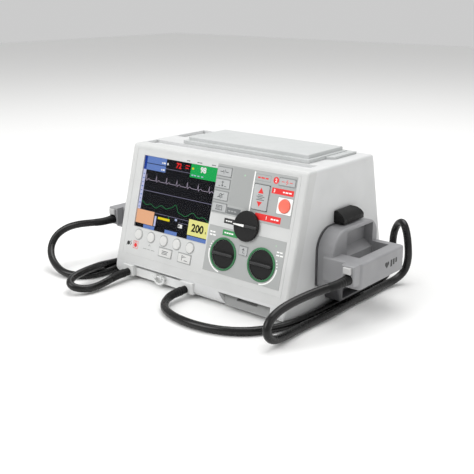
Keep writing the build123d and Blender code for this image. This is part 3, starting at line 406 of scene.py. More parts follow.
def rounded_box(half_width: float, half_height: float, radius: float,
                count: int = 32) -> tuple[np.ndarray, np.ndarray]:
    """Give the spine points and outward directions of a rectangle with round corners.

    Each direction belongs to the corner of its own quarter, whose centre is a radius inside both
    sides, so the outline is straight between the quarters.
    """
    quarter = np.linspace(0, math.pi / 2, count // 4)
    angle = np.concatenate([quarter + k * math.pi / 2 for k in range(4)])
    ways = np.stack([np.cos(angle), np.sin(angle)], 1)
    signs = np.repeat(np.array([[1, 1], [-1, 1], [-1, -1], [1, -1]], float), count // 4, axis=0)
    return signs * np.array([half_width - radius, half_height - radius]), ways


def cap(name: str, face: Face, centre: tuple[float, float], outline: tuple[np.ndarray, np.ndarray],
        radii: np.ndarray, lifts: np.ndarray, finish: Finish) -> bpy.types.Object:
    """Carry a profile round an outline on a face, closed flat at both ends.

    A point is the centre, plus the outline's spine point, plus its direction times the profile's
    radius, at the profile's lift.

    Args:
        name: the piece's name.
        face: the face it stands on.
        centre: its (u, v).
        outline: spine points and outward directions, one row each.
        radii: the profile's distance from the spine, from the lowest ring up.
        lifts: the profile's lift at each ring.
        finish: what it is made of.

    Returns:
        The piece.
    """
    spine, ways = outline
    count = len(ways)
    flat = (spine[None] + ways[None] * np.asarray(radii)[:, None, None]).reshape(-1, 2)
    points = face.place(flat + np.array(centre), np.repeat(lifts, count))
    faces = grid_faces(len(radii), count)
    faces.append(list(range(count))[::-1])
    faces.append([(len(radii) - 1) * count + i for i in range(count)])
    return new_piece(name, points, faces, finish)


def rounded_edge(radius: float, low: float, high: float, edge: float,
                 dish: float = 0.0) -> tuple[np.ndarray, np.ndarray]:
    """Give a cap's profile: a straight wall, a quarter-round edge and a slightly dished top.

    The edge's points are edge back from the wall and from the top along a quarter circle, and the
    top sinks by dish times the square of the way to its middle.
    """
    angle = np.linspace(0, math.pi / 2, 7)
    radii = np.concatenate([[radius], radius - edge + edge * np.cos(angle)])
    lifts = np.concatenate([[low], high - edge + edge * np.sin(angle)])
    inner = np.linspace(1, 0.12, 6)[1:]
    radii = np.concatenate([radii, (radius - edge) * inner])
    return radii, np.concatenate([lifts, high - dish * (1 - inner**2)])


# ---------------------------------------------------------------- printing
@dataclass
class Print:
    """Flat inked shapes on a face, gathered and then made into one thin piece."""

    face: Face
    base: float
    film: float = 0.05
    points: list[np.ndarray] = field(default_factory=list)
    faces: list[list[int]] = field(default_factory=list)
    inks: list[Finish] = field(default_factory=list)
    used: int = 0

    def add(self, ink: Finish, flat: np.ndarray, faces: list, layer: int) -> None:
        """Add one shape's (n, 2) points and faces, layer films above the base."""
        self.points.append(self.face.place(np.asarray(flat, float), self.base + layer * self.film))
        self.faces += [[self.used + i for i in row] for row in faces]
        self.inks += [ink] * len(faces)
        self.used += len(flat)

    def box(self, ink: Finish, u0: float, u1: float, v0: float, v1: float, layer: int = 0) -> None:
        """Print a filled rectangle."""
        self.add(ink, [(u0, v0), (u1, v0), (u1, v1), (u0, v1)], [[0, 1, 2, 3]], layer)

    def shape(self, ink: Finish, outline: list, layer: int = 0) -> None:
        """Print a filled outline, given counter-clockwise."""
        self.add(ink, outline, [list(range(len(outline)))], layer)

    def disc(self, ink: Finish, u: float, v: float, radius: float, layer: int = 0) -> None:
        """Print a filled circle."""
        _, ways = stadium(0.0, 40)
        self.add(ink, ways * radius + (u, v), [list(range(40))], layer)

    def mat(self, ink: Finish, u: float, v: float, width: float, height: float, hole: float,
            layer: int = 0) -> None:
        """Print a rectangle round a round hole.

        Each of its outer points lies on the line from the centre through a point of the hole.
        """
        _, ways = stadium(0.0, 64)
        reach = np.min(np.array([width, height]) / 2 / np.maximum(np.abs(ways), 1e-9), axis=1)
        both = np.vstack([ways * reach[:, None], ways * hole]) + (u, v)
        self.add(ink, both, [row[::-1] for row in grid_faces(2, 64)], layer)

    def line(self, ink: Finish, path: list, width: float, layer: int = 0) -> None:
        """Print a line of one width through the path's points, mitred at each of them.

        Each point is moved to both sides along the mean of its two runs' normals.
        """
        way = np.asarray(path, float)
        run = np.diff(way, axis=0)
        normal = np.stack([-run[:, 1], run[:, 0]], 1) / np.linalg.norm(run, axis=1)[:, None]
        mean = np.vstack([normal[:1], (normal[1:] + normal[:-1]) / 2, normal[-1:]])
        mean /= np.maximum(np.sum(mean**2, axis=1), 0.25)[:, None]
        both = np.hstack([way - mean * width / 2, way + mean * width / 2]).reshape(-1, 2)
        rows = [[2 * i, 2 * i + 2, 2 * i + 3, 2 * i + 1] for i in range(len(way) - 1)]
        self.add(ink, both, rows, layer)

    def arc(self, ink: Finish, u: float, v: float, radius: float, start: float, end: float,
            width: float, layer: int = 0) -> None:
        """Print part of a ring, between two angles in degrees from the right."""
        angle = np.radians(np.linspace(start, end, 40))
        path = np.stack([u + radius * np.cos(angle), v + radius * np.sin(angle)], 1)
        self.line(ink, path, width, layer)

    def frame(self, ink: Finish, u: float, v: float, width: float, height: float, line: float,
              layer: int = 0) -> None:
        """Print a rectangle's outline about a centre."""
        a, b = width / 2, height / 2
        self.box(ink, u - a, u + a, v + b - line, v + b, layer)
        self.box(ink, u - a, u + a, v - b, v - b + line, layer)
        self.box(ink, u - a, u - a + line, v - b + line, v + b - line, layer)
        self.box(ink, u + a - line, u + a, v - b + line, v + b - line, layer)

    def bars(self, ink: Finish, runs: tuple[tuple[float, float], ...], low: float, high: float,
             layer: int = 1) -> None:
        """Print a row of bars in place of a word, given as starts and widths."""
        for start, width in runs:
            self.box(ink, start, start + width, low, high, layer)

    def number(self, ink: Finish, digits: str, u: float, v: float, height: float,
               layer: int = 0, bold: float = 0.02) -> None:
        """Print a number centred on (u, v)."""
        curve = bpy.data.curves.new("digits", "FONT")
        curve.body = digits
        curve.align_x, curve.align_y = "CENTER", "CENTER"
        curve.size, curve.offset, curve.resolution_u = 1.0, bold, 4
        holder = bpy.data.objects.new("digits", curve)
        mesh = bpy.data.meshes.new_from_object(holder)
        count = len(mesh.vertices)
        flat = np.empty(count * 3)
        mesh.vertices.foreach_get("co", flat)
        flat = flat.reshape(-1, 3)[:, :2]
        rows = [list(p.vertices) for p in mesh.polygons]
        tall = np.ptp(flat[:, 1])
        middle = (flat.max(0) + flat.min(0)) / 2
        self.add(ink, (flat - middle) * height / tall + (u, v), rows, layer)
        bpy.data.objects.remove(holder)
        bpy.data.curves.remove(curve)
        bpy.data.meshes.remove(mesh)

    def build(self, name: str, body: str) -> bpy.types.Object:
        """Make the piece, one material slot for each ink, and let it ride on a body."""
        order = list(dict.fromkeys(self.inks))
        piece = new_piece(name, np.vstack(self.points), self.faces, order[0])
        for ink in order[1:]:
            piece.data.materials.append(ink.material())
        slots = np.array([order.index(ink) for ink in self.inks], np.int32)
        piece.data.polygons.foreach_set("material_index", slots)
        piece.data.shade_flat()
        depth = piece.modifiers.new("film", "SOLIDIFY")
        depth.thickness = self.film * 0.6 * MM
        depth.offset = -1.0
        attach(piece, body)
        LOG.info("printed %s: %d shapes on %s", name, len(self.inks), body)
        return piece


# ---------------------------------------------------------------- sub-assemblies
@dataclass
class CaseShells:
    """The case's shells, boards and small parts, which keep their frame meshes."""

    nodes: dict[str, bpy.types.Object]
    finishes: dict[Finish, str] = field(default_factory=lambda: {
        Finish.CASE: "main_housing base_tray recorder_door",
        Finish.PANEL: "front_panel",
        Finish.BATTERY: "battery_pack",
        Finish.CONNECTOR: "cable_connector connector_ring",
        Finish.PADDLE: "right_paddle left_paddle",
        Finish.HOLDER: "right_holder left_holder",
        # The holders' dark grey includes painted shade under the paddles.
        Finish.POCKET: "card_slot",
        Finish.BLACK: "right_latch left_latch display_module",
        Finish.KEY: "energy_rocker",
        Finish.SHOCK_KEY: "right_shock_key left_shock_key",
        Finish.GLAND: "cord_glands right_relief left_relief",
        Finish.FOOT: "rubber_feet",
        Finish.REAR: "rear_panel",
        Finish.MECHANISM: "recorder_mechanism speaker rotary_controls",
        Finish.BOARD: "main_board control_board",
        Finish.PAPER: "paper_roll",
        Finish.FILM: "key_label pacer_label",
        Finish.STEEL: "right_electrode left_electrode",
        Finish.ZINC: "chassis_frame case_screws",
        Finish.CAN: "hv_capacitor",
        Finish.COPPER: "hv_inductor battery_contacts",
        Finish.RING: "pacer_rings",
    })

    def dress(self) -> None:
        """Give each listed node its finish."""
        for finish, names in self.finishes.items():
            for name in names.split():
                slots = self.nodes[name].data.materials
                slots.clear()
                slots.append(finish.material())
        LOG.info("dressed %d finishes on the frame's nodes", len(self.finishes))


@dataclass
class LiveScreen:
    """The display's glass and the lit picture behind it."""

    face: Face
    u: float = -50.6
    v: float = 88.4
    width: float = 116.8
    height: float = 86.4
    glass: tuple[float, float] = (-0.9, -0.3)
    picture: float = -1.6

    def at(self, s: float, t: float) -> tuple[float, float]:
        """Turn shares of the picture, from its left and from its bottom, into (u, v)."""
        return self.u + (s - 0.5) * self.width, self.v + (t - 0.5) * self.height

    def block(self, sheet: Print, ink: Finish, s0: float, s1: float, t0: float, t1: float,
              layer: int = 1) -> None:
        """Light a block of the picture, given in shares of it."""
        (u0, v0), (u1, v1) = self.at(s0, t0), self.at(s1, t1)
        sheet.box(ink, u0, u1, v0, v1, layer)

    def trace(self, sheet: Print, ink: Finish, s: np.ndarray, t: np.ndarray, width: float) -> None:
        """Light a curve of the picture, given in shares of it."""
        sheet.line(ink, [self.at(*pair) for pair in zip(s, t)], width, 2)

    def build(self) -> None:
        """Make the glass and the picture."""
        outline = rounded_box(self.width / 2, self.height / 2, 0.8)
        radii, lifts = rounded_edge(0.8, self.glass[0], self.glass[1], 0.15)
        glass = cap("screen_glass", self.face, (self.u, self.v), outline, radii, lifts,
                    Finish.GLASS)
        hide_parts("display_window")
        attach(glass, CASE)
        sheet = Print(self.face, self.picture, 0.04)
        self.block(sheet, Finish.LIT_BLACK, 0, 1, 0, 1, 0)
        self.readings(sheet)
        self.waves(sheet)
        self.footer(sheet)
        sheet.build("screen_picture", CASE)

    def readings(self, sheet: Print) -> None:
        """Light the two rows of settings and the two large readings along the top."""
        self.block(sheet, Finish.LIT_NAVY, 0.0, 0.036, 0.81, 1.0)
        for low, high in ((0.812, 0.896), (0.906, 1.0)):
            self.block(sheet, Finish.LIT_BLUE, 0.036, 0.31, low, high)
            self.block(sheet, Finish.LIT_WHITE, 0.27, 0.30, low + 0.02, low + 0.042, 2)
            self.block(sheet, Finish.LIT_WHITE, 0.25, 0.263, low + 0.02, low + 0.042, 2)
        self.block(sheet, Finish.LIT_GREEN, 0.65, 1.0, 0.82, 1.0)
        self.block(sheet, Finish.LIT_GREY, 0.31, 0.65, 0.866, 0.871)
        sheet.number(Finish.LIT_RED, "72", *self.at(0.485, 0.938), 6.6, 2, 0.03)
        sheet.number(Finish.LIT_WHITE, "98", *self.at(0.815, 0.94), 7.0, 2, 0.04)
        for row, share in enumerate((0.92, 0.955)):
            self.block(sheet, Finish.LIT_RED, 0.575, 0.62 + 0.01 * row, share, share + 0.012, 2)
        self.block(sheet, Finish.LIT_YELLOW, 0.665, 0.69, 0.925, 0.95, 2)
        self.block(sheet, Finish.LIT_WHITE, 0.322, 0.34, 0.92, 0.95, 2)
        for start in (0.67, 0.705, 0.75, 0.80):
            self.block(sheet, Finish.LIT_PALE, start, start + 0.025, 0.842, 0.858, 2)

    def waves(self, sheet: Print) -> None:
        """Light the scale at the left, the heart trace, the pulse trace and their rules.

        The heart trace adds a narrow spike, a dip after it and a broad low wave in each beat. The
        pulse trace adds three sines and one tall beat.
        """
        self.block(sheet, Finish.LIT_LILAC, 0.0, 0.04, 0.25, 0.81)
        for step in range(9):
            low = 0.275 + 0.058 * step
            self.block(sheet, Finish.LIT_BLUE, 0.008, 0.026 + 0.006 * (step % 2), low,
                       low + 0.016, 2)
        s = np.linspace(0.045, 0.995, 260)
        beat = (s * 6.9 + 0.1) % 1.0
        heart = 0.085 * np.exp(-((beat - 0.5) / 0.028) ** 2)
        heart += 0.018 * np.exp(-((beat - 0.76) / 0.08) ** 2)
        heart -= 0.016 * np.exp(-((beat - 0.57) / 0.03) ** 2)
        self.trace(sheet, Finish.LIT_ECG, s, 0.672 + heart, 0.42)
        pulse = 0.345 + 0.018 * np.sin(s * 43) + 0.014 * np.sin(s * 17 + 1) - 0.03 * s
        pulse += 0.1 * np.exp(-((s - 0.53) / 0.035) ** 2)
        pulse -= 0.035 * np.exp(-((s - 0.64) / 0.05) ** 2)
        self.trace(sheet, Finish.LIT_TRACE, s, pulse, 0.42)
        self.block(sheet, Finish.LIT_GREY, 0.045, 1.0, 0.518, 0.524)
        self.block(sheet, Finish.LIT_GREY, 0.25, 0.735, 0.236, 0.241)

    def footer(self, sheet: Print) -> None:
        """Light the blocks along the bottom, the bar, the energy figure and the soft-key tabs."""
        self.block(sheet, Finish.LIT_PEACH, 0.0, 0.25, 0.055, 0.248)
        self.block(sheet, Finish.LIT_LILAC, 0.262, 0.288, 0.06, 0.20)
        self.block(sheet, Finish.LIT_YELLOW, 0.31, 0.475, 0.168, 0.2)
        self.block(sheet, Finish.LIT_GREEN, 0.452, 0.458, 0.2, 0.232)
        self.block(sheet, Finish.LIT_WHITE, 0.60, 0.655, 0.118, 0.168)
        self.block(sheet, Finish.LIT_BLACK, 0.605, 0.622, 0.13, 0.158, 2)
        self.block(sheet, Finish.LIT_PALE, 0.545, 0.575, 0.198, 0.226)
        self.block(sheet, Finish.LIT_GREY, 0.60, 0.735, 0.184, 0.188)
        self.block(sheet, Finish.LIT_CREAM, 0.735, 1.0, 0.06, 0.27)
        sheet.number(Finish.LIT_BLACK, "200", *self.at(0.86, 0.165), 9.6, 2, 0.035)
        self.block(sheet, Finish.LIT_BLACK, 0.966, 0.974, 0.12, 0.15, 2)
        for start, end in ((0.12, 0.28), (0.43, 0.6), (0.74, 1.0)):
            self.block(sheet, Finish.LIT_BLUE, start, end, 0.0, 0.05)


@dataclass(frozen=True)
class KeyPlace:
    """One rectangular key: its place, its size and the strokes of its sign."""

    u: float
    v: float
    width: float
    height: float
    sign: tuple[tuple[tuple[float, float], ...], ...]
    ink: Finish = Finish.INK_LEGEND
    plastic: Finish = Finish.KEY


class Sign(Enum):
    """Signs of the keys, as strokes in millimetres about the key's centre."""

    PULSE = (((-6, 0), (-2.4, 0), (-1.4, 1.2), (-0.4, -2.2), (1, 2.8), (2, 0), (6, 0)),)
    HEIGHT = (((0, -2.6), (0, 2.6)), ((-1.3, 1.3), (0, 2.8), (1.3, 1.3)),
              ((-1.3, -1.3), (0, -2.8), (1.3, -1.3)), ((3, -2.6), (5.4, -2.6)),
              ((-5.4, -2.6), (-3, -2.6)))
    BELL = (((-3, -1.6), (3, -1.6)), ((-2.2, -1.4), (-1.8, 1.2), (0, 2.4), (1.8, 1.2), (2.2, -1.4)),
            ((-0.7, -2.8), (0.7, -2.8)), ((-4.6, -2.4), (4.6, 2.6)))
    CHART = (((-5, -2.4), (5, -2.4)), ((-4, -2.4), (-4, 2.2), (4, 2.2), (4, -2.4)),
             ((-2.6, 0.6), (2.6, 0.6)), ((-2.6, -0.9), (1, -0.9)))
    BOLT = (((-7, 0), (-3.4, 0)), ((0.8, 2.6), (-1.4, -0.2), (1.4, 0.2), (-0.8, -2.6)),
            ((3.4, 0), (7, 0)))
    ARROW = (((0, -2.6), (0, 2.4)), ((-1.6, 0.8), (0, 2.6), (1.6, 0.8)), ((1.2, -2.6), (2.4, -2.6)))
    LINES = (((-5, 1.7), (5, 1.7)), ((-5, 0), (3.4, 0)), ((-5, -1.7), (4.2, -1.7)))
    FLAG = (((-3.4, -2.9), (-3.4, 2.9), (3.2, 1.9), (-3.4, 0.5)), ((0.4, -2.4), (5.2, -2.4)))


class KnobAt(Enum):
    """The places of the three knobs' axes on the panel."""

    SELECTOR = (63.3, 75.8)
    OUTPUT = (36.2, 39.4)
    RATE = (90.0, 38.8)


@dataclass
class ControlKeys:
    """The keys of the panel: caps for the keys, soft keys and shock button, and their signs."""

    face: Face
    proud: float = 1.0
    corner: float = 1.0
    shock: tuple[float, float] = (107.1, 105.0)
    shock_radius: float = 7.4
    rocker_middle: tuple[float, float] = (74.6, 109.2)
    rocker_top: float = 1.24
    soft_radius: float = 5.9
    soft_count: int = 5
    soft_first: float = -98.4
    soft_pitch: float = 21.2
    soft_v: float = 36.2
    keys: dict[str, KeyPlace] = field(default_factory=lambda: {
        "lead_key": KeyPlace(19.4, 129.2, 20.0, 9.6, Sign.PULSE.value),
        "size_key": KeyPlace(19.4, 115.9, 20.0, 9.6, Sign.HEIGHT.value),
        "alarm_key": KeyPlace(19.4, 102.6, 20.0, 9.6, Sign.BELL.value),
        "recorder_key": KeyPlace(19.9, 89.3, 20.0, 9.2, Sign.CHART.value),
        "charge_key": KeyPlace(105.9, 130.0, 20.6, 7.6, Sign.BOLT.value, Finish.INK_RED),
        "pacer_test_key": KeyPlace(63.4, 48.5, 11.0, 9.2, Sign.ARROW.value),
        "summary_key": KeyPlace(-50.6, 22.8, 20.0, 9.4, Sign.LINES.value, plastic=Finish.SOFT_KEY),
        "marker_key": KeyPlace(-19.6, 22.6, 19.2, 9.8, Sign.FLAG.value, plastic=Finish.SOFT_KEY),
    })

    def plunger(self, radius: float, top: float, edge: float,
                dish: float) -> tuple[np.ndarray, np.ndarray]:
        """Give a key's profile: its foot, the flange that holds it in and its rounded cap."""
        radii, lifts = rounded_edge(radius, -3.2, top, edge, dish)
        foot = np.array([radius, radius, radius + 0.8, radius + 0.8])
        return np.concatenate([foot, radii]), np.concatenate([[-5.0, -4.4, -4.4, -3.2], lifts])

    def build(self) -> None:
        """Make every key's cap and print its sign."""
        for name, key in self.keys.items():
            outline = rounded_box(key.width / 2, key.height / 2, self.corner)
            radii, lifts = self.plunger(self.corner, self.proud, 0.4, 0.0)
            piece = cap(f"{name}_cap", self.face, (key.u, key.v), outline, radii, lifts,
                        key.plastic)
            self.stand_for(piece, name)
            sheet = Print(self.face, self.proud + 0.02, 0.03)
            for stroke in key.sign:
                sheet.line(key.ink, np.array(stroke) + (key.u, key.v), 0.75)
            sheet.build(f"{name}_sign", name)
        for i in range(self.soft_count):
            name = f"softkey_{i + 1}"
            radii, lifts = self.plunger(self.soft_radius, 1.6, 1.1, -0.25)
            place = (self.soft_first + i * self.soft_pitch, self.soft_v)
            piece = cap(f"{name}_cap", self.face, place, stadium(0.0), radii, lifts,
                        Finish.SOFT_KEY)
            self.stand_for(piece, name)
        radii, lifts = self.plunger(self.shock_radius, 1.6, 0.8, 0.5)
        piece = cap("shock_button_cap", self.face, self.shock, stadium(0.0, 64), radii, lifts,
                    Finish.SHOCK)
        self.stand_for(piece, "shock_button")
        self.rocker()

    def stand_for(self, piece: bpy.types.Object, node: str) -> None:
        """Let a piece replace a node and ride on the body of the same name."""
        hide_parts(node)
        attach(piece, node)

    def rocker(self) -> None:
        """Print the energy rocker's two triangles and the scale between them."""
        u, v = self.rocker_middle
        sheet = Print(self.face, self.rocker_top, 0.03)
        sheet.shape(Finish.INK_RED, [(u - 4, v + 4.4), (u + 3.4, v + 4.4), (u - 0.3, v + 10.6)])
        sheet.shape(Finish.INK_RED, [(u - 4, v - 4.6), (u - 0.4, v - 10.2), (u + 3.2, v - 4.6)])
        for step, half in enumerate((5.4, 3.6, 5.4, 3.6)):
            sheet.box(Finish.INK_LEGEND, u - half, u + half - 0.8 * (step % 2),
                      v - 2.9 + 1.7 * step, v - 2.2 + 1.7 * step)
        sheet.build("energy_rocker_signs", "energy_rocker")


@dataclass
class PanelPrintAndShade:
    """The inks on the two label films and the bare panel, and painted shade lines round the keys."""

    face: Face
    keys: ControlKeys
    film_top: float = 0.21
    scale_radius: float = 20.8
    label_keys: tuple[str, ...] = ("lead_key", "size_key", "alarm_key", "recorder_key", "charge_key")

    def build(self) -> None:
        """Print the labels, then the bare panel, each with painted shade lines round its keys."""
        upper = Print(self.face, self.film_top, 0.03)
        self.shock_area(upper)
        # Darker lines round the label's keys: painted shade in the gaps round them.
        self.shade_lines_round_keys(upper, self.label_keys)
        upper.build("key_label_print_and_shade", CASE)
        lower = Print(self.face, self.film_top, 0.03)
        self.pacer_area(lower)
        # A darker line round the pacer test key: painted shade in its gap.
        self.shade_lines_round_keys(lower, ("pacer_test_key",))
        lower.build("pacer_label_print_and_shade", CASE)
        bare = Print(self.face, 0.02, 0.03)
        self.bare_panel(bare)
        # Darker lines round the summary and marker keys: painted shade in their gaps.
        self.shade_lines_round_keys(bare, ("summary_key", "marker_key"))
        # Mid-grey rings round the soft keys: painted shade in the gaps round them.
        for i in range(self.keys.soft_count):
            bare.arc(Finish.INK_MID, self.keys.soft_first + i * self.keys.soft_pitch,
                     self.keys.soft_v, self.keys.soft_radius + 0.75, 0, 360, 0.55)
        bare.build("panel_print_and_shade", CASE)
        bead = Print(self.face, 0.28, 0.5)
        bead.frame(Finish.PANEL, 0.0, 74.6, 244.0, 130.0, 0.7)
        bead.build("panel_bead", CASE)

    def shade_lines_round_keys(self, sheet: Print, names: tuple[str, ...]) -> None:
        """Paint a darker line round each named key: painted shade in the gap round it."""
        for name in names:
            key = self.keys.keys[name]
            sheet.frame(Finish.INK_MID, key.u, key.v, key.width + 2.2, key.height + 2.2, 0.7)

    def shock_area(self, sheet: Print) -> None:
        """Print the speaker field, divider, energy box, steps 1, 2, 3 and more; paint shade round the
        rocker.
        """
        sheet.box(Finish.INK_SHADE, 31.4, 60.6, 94.0, 136.2)
        sheet.box(Finish.INK_WHITE, 61.0, 62.6, 84.6, 135.8)
        sheet.disc(Finish.INK_PALE, 48.5, 129.3, 1.1, 1)
        sheet.box(Finish.INK_DARK, 31.0, 50.5, 84.4, 91.6)
        sheet.bars(Finish.INK_SHADE, ((33.0, 3.2), (37.2, 3.2), (41.4, 3.2)), 87.2, 88.6)
        sheet.frame(Finish.INK_MID, 73.7, 130.3, 21.0, 7.6, 0.8)
        sheet.bars(Finish.INK_RED, ((66.4, 3.4), (70.8, 4.6), (76.6, 4.0)), 129.4, 131.0, 0)
        sheet.disc(Finish.INK_RED, 90.9, 130.2, 3.7)
        sheet.number(Finish.INK_WHITE, "2", 90.9, 130.2, 3.9, 1)
        sheet.box(Finish.INK_RED, 87.5, 116.2, 116.2, 122.4)
        sheet.number(Finish.INK_WHITE, "3", 90.8, 119.3, 3.6, 1)
        sheet.bars(Finish.INK_WHITE, ((102.0, 2.6), (105.4, 3.8), (110.0, 3.4)), 118.5, 119.9)
        sheet.box(Finish.INK_RED, 70.7, 105.4, 85.3, 92.4)
        sheet.number(Finish.INK_WHITE, "1", 86.2, 88.9, 3.8, 1)
        sheet.bars(Finish.INK_WHITE, ((92.4, 3.0), (96.2, 2.4), (99.4, 3.2)), 88.1, 89.6)
        u, v = self.keys.shock
        sheet.mat(Finish.INK_WHITE, u, v, 19.0, 17.8, self.keys.shock_radius + 0.3)
        sheet.frame(Finish.INK_MID, u, v - 0.1, 20.2, 18.6, 0.6, 1)
        # A mid-grey line round the energy rocker: painted shade in the gap round it.
        sheet.frame(Finish.INK_MID, *self.keys.rocker_middle, 23.2, 30.0, 0.8)

    def pacer_area(self, sheet: Print) -> None:
        """Print the pacer's tag, the two knobs' scales and the lamp."""
        sheet.box(Finish.INK_GREEN, 30.5, 52.0, 60.1, 66.6)
        sheet.bars(Finish.INK_WHITE, ((33.0, 2.4), (36.0, 3.0), (39.6, 2.4), (42.6, 3.2)), 62.6, 64.2)
        for knob, start, end, dots in ((KnobAt.OUTPUT, 172, 262, (165, 156, 147)),
                                       (KnobAt.RATE, -2, -88, (5, 14, 23))):
            u, v = knob.value
            sheet.arc(Finish.INK_WHITE, u, v, self.scale_radius, start, end, 1.6)
            for angle in dots:
                way = math.radians(angle)
                sheet.disc(Finish.INK_WHITE, u + self.scale_radius * math.cos(way),
                           v + self.scale_radius * math.sin(way), 0.8)
        for u in (12.4, 107.4):
            for row, width in enumerate((7.6, 8.8)):
                low = 60.6 - 3.4 * row - (5.0 if u > 100 else 0.0)
                sheet.box(Finish.INK_WHITE, u, u + width * 0.45, low, low + 1.5)
                sheet.box(Finish.INK_WHITE, u + width * 0.55, u + width, low, low + 1.5)
        sheet.disc(Finish.INK_PALE, 105.3, 62.4, 0.9)

    def bare_panel(self, sheet: Print) -> None:
        """Print the off tag, the marks over the screen and the round signs under it."""
        sheet.box(Finish.INK_BLACK, 29.6, 47.0, 73.6, 79.4)
        sheet.bars(Finish.INK_WHITE, ((32.0, 2.6), (35.4, 2.4), (38.4, 2.4)), 75.8, 77.2)
        for u, width in ((-37.0, 4.6), (-19.6, 7.4), (1.8, 5.6)):
            sheet.box(Finish.INK_LEGEND, u - width / 2, u - 0.3, 133.6, 134.6)
            sheet.box(Finish.INK_LEGEND, u + 0.3, u + width / 2, 133.6, 134.6)
        sheet.disc(Finish.INK_BLACK, -113.6, 23.0, 2.5)
        sheet.line(Finish.INK_BLACK, [(-110.6, 25.6), (-108.6, 23.2), (-110.6, 20.6)], 0.7)
        sheet.line(Finish.INK_BLACK, [(-117.4, 20.0), (-109.0, 26.4)], 0.5, 1)
        sheet.frame(Finish.INK_RED, -101.2, 23.0, 8.4, 9.2, 0.5)
        sheet.disc(Finish.INK_RED, -101.2, 22.4, 2.5)
        sheet.line(Finish.INK_RED, [(-104.0, 25.0), (-101.2, 26.6), (-98.4, 25.0)], 0.7)
        sheet.line(Finish.INK_MID, [(-79.6, 25.4), (-78.0, 27.4), (-76.4, 25.4)], 0.6)
        for start, end in ((-88.0, -82.0), (-80.6, -76.0), (-74.6, -68.4)):
            sheet.line(Finish.INK_MID, [(start, 21.2), (end, 21.2)], 0.7)


@dataclass
class TurnKnob:
    """A moulded knob: a fluted disc on a shaft, with a rounded bar across it to grip."""

    node: str
    face: Face
    at: KnobAt
    radius: float
    low: float
    disc: float
    bar: float
    bar_width: float = 4.4
    shaft_radius: float = 3.0
    shaft_foot: float = -17.2
    flutes: int = 36
    pointer: bool = False

    def build(self) -> None:
        """Make the disc, the bar and the pointer, which all ride on the knob's body."""
        count = 6 * self.flutes
        spine, ways = stadium(0.0, count)
        flutes = 1 + 0.006 * np.cos(self.flutes * np.arange(count) * TURN / count)
        radii, lifts = rounded_edge(self.radius - 0.1, self.low + 0.6, self.low + self.disc, 0.7,
                                    0.5)
        foot = [self.shaft_radius, self.shaft_radius, self.radius - 0.6, self.radius - 0.2]
        radii = np.concatenate([foot, radii])
        lifts = np.concatenate([[self.shaft_foot, self.low, self.low, self.low + 0.4], lifts])
        disc = cap(f"{self.node}_disc", self.face, self.at.value,
                   (spine, ways * flutes[:, None]), radii, lifts, Finish.BLACK)
        half = self.bar_width / 2
        top = self.low + self.disc + self.bar
        radii, lifts = rounded_edge(half - 0.5, self.low + self.disc - 1.2, top, 0.9)
        radii[0] = half + 0.2
        bar = cap(f"{self.node}_bar", self.face, self.at.value,
                  stadium(self.radius - half - 0.5), radii, lifts, Finish.BAR)
        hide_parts(self.node)
        for piece in (disc, bar):
            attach(piece, self.node)
        if self.pointer:
            sheet = Print(self.face, top + 0.03, 0.03)
            u, v = self.at.value
            tip, root = u - self.radius + 0.9, u - 1.2
            sheet.shape(Finish.INK_WHITE, [(tip, v - 0.5), (root, v - 1.4), (root, v + 1.4),
                                           (tip, v + 0.5)])
            sheet.build(f"{self.node}_pointer", self.node)
        LOG.info("moulded %s, %.1f mm across", self.node, 2 * self.radius)


class Hand(Enum):
    """The side of the case that a paddle parks on, as the sign of its x."""

    RIGHT = 1
    LEFT = -1

    @property
    def word(self) -> str:
        """The side's name, as the frame's nodes use it."""
        return self.name.lower()


@dataclass
class HandPaddle:
    """A paddle's printed mark and the finger ribs of its latch."""

    hand: Hand
    mark_y: float = 22.0
    mark_height: float = 55.0
    ribs: int = 3
    rib_first: float = 1.4
    rib_pitch: float = 1.5

    def build(self) -> None:
        """Make the paddle's trim."""
        side = self.hand.value
        low, high = (np.array(corner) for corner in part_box(f"{self.hand.word}_paddle"))
        outer = high[0] if side > 0 else low[0]
        middle = ((low + high) / 2)[1:]
        face = Face.from_axis([outer, middle[0], 0.0], [side, 0, 0], (0, side, 0), 0.0, 0.0)
        sheet = Print(face, 0.03, 0.04)
        self.mark(sheet, side * self.mark_y, self.mark_height)
        sheet.build(f"{self.hand.word}_paddle_mark", f"{self.hand.word}_paddle")
        latch_low, latch_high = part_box(f"{self.hand.word}_latch")
        tip = (latch_high if side > 0 else latch_low)[0]
        grip = Face.from_axis([tip, (latch_low[1] + latch_high[1]) / 2, latch_low[2]],
                              [side, 0, 0], (0, side, 0), 0.0, 0.0)
        for step in range(self.ribs):
            place = (0.0, self.rib_first + self.rib_pitch * step)
            rib = cap(f"{self.hand.word}_latch_rib_{step + 1}", grip, place, stadium(13.0, 24),
                      *rounded_edge(0.45, -0.6, 0.35, 0.3), Finish.BLACK)
            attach(rib, f"{self.hand.word}_latch")
        LOG.info("trimmed the %s paddle", self.hand.word)

    def mark(self, sheet: Print, u: float, v: float) -> None:
        """Print a heart and three bars, the generic sign for where this paddle goes."""
        angle = np.linspace(0, TURN, 49)[:-1]
        heart = np.stack([16 * np.sin(angle) ** 3,
                          13 * np.cos(angle) - 5 * np.cos(2 * angle) - 2 * np.cos(3 * angle)
                          - np.cos(4 * angle)], 1)
        outline = heart[::-1] * 0.27 + (u - 9.0, v)
        sheet.shape(Finish.INK_BLACK, outline.tolist())
        for step in range(3):
            start = u - 1.5 + step * 5.2
            sheet.box(Finish.INK_BLACK, start, start + 3.4, v - 4.2 + 1.2 * step, v + 3.6)


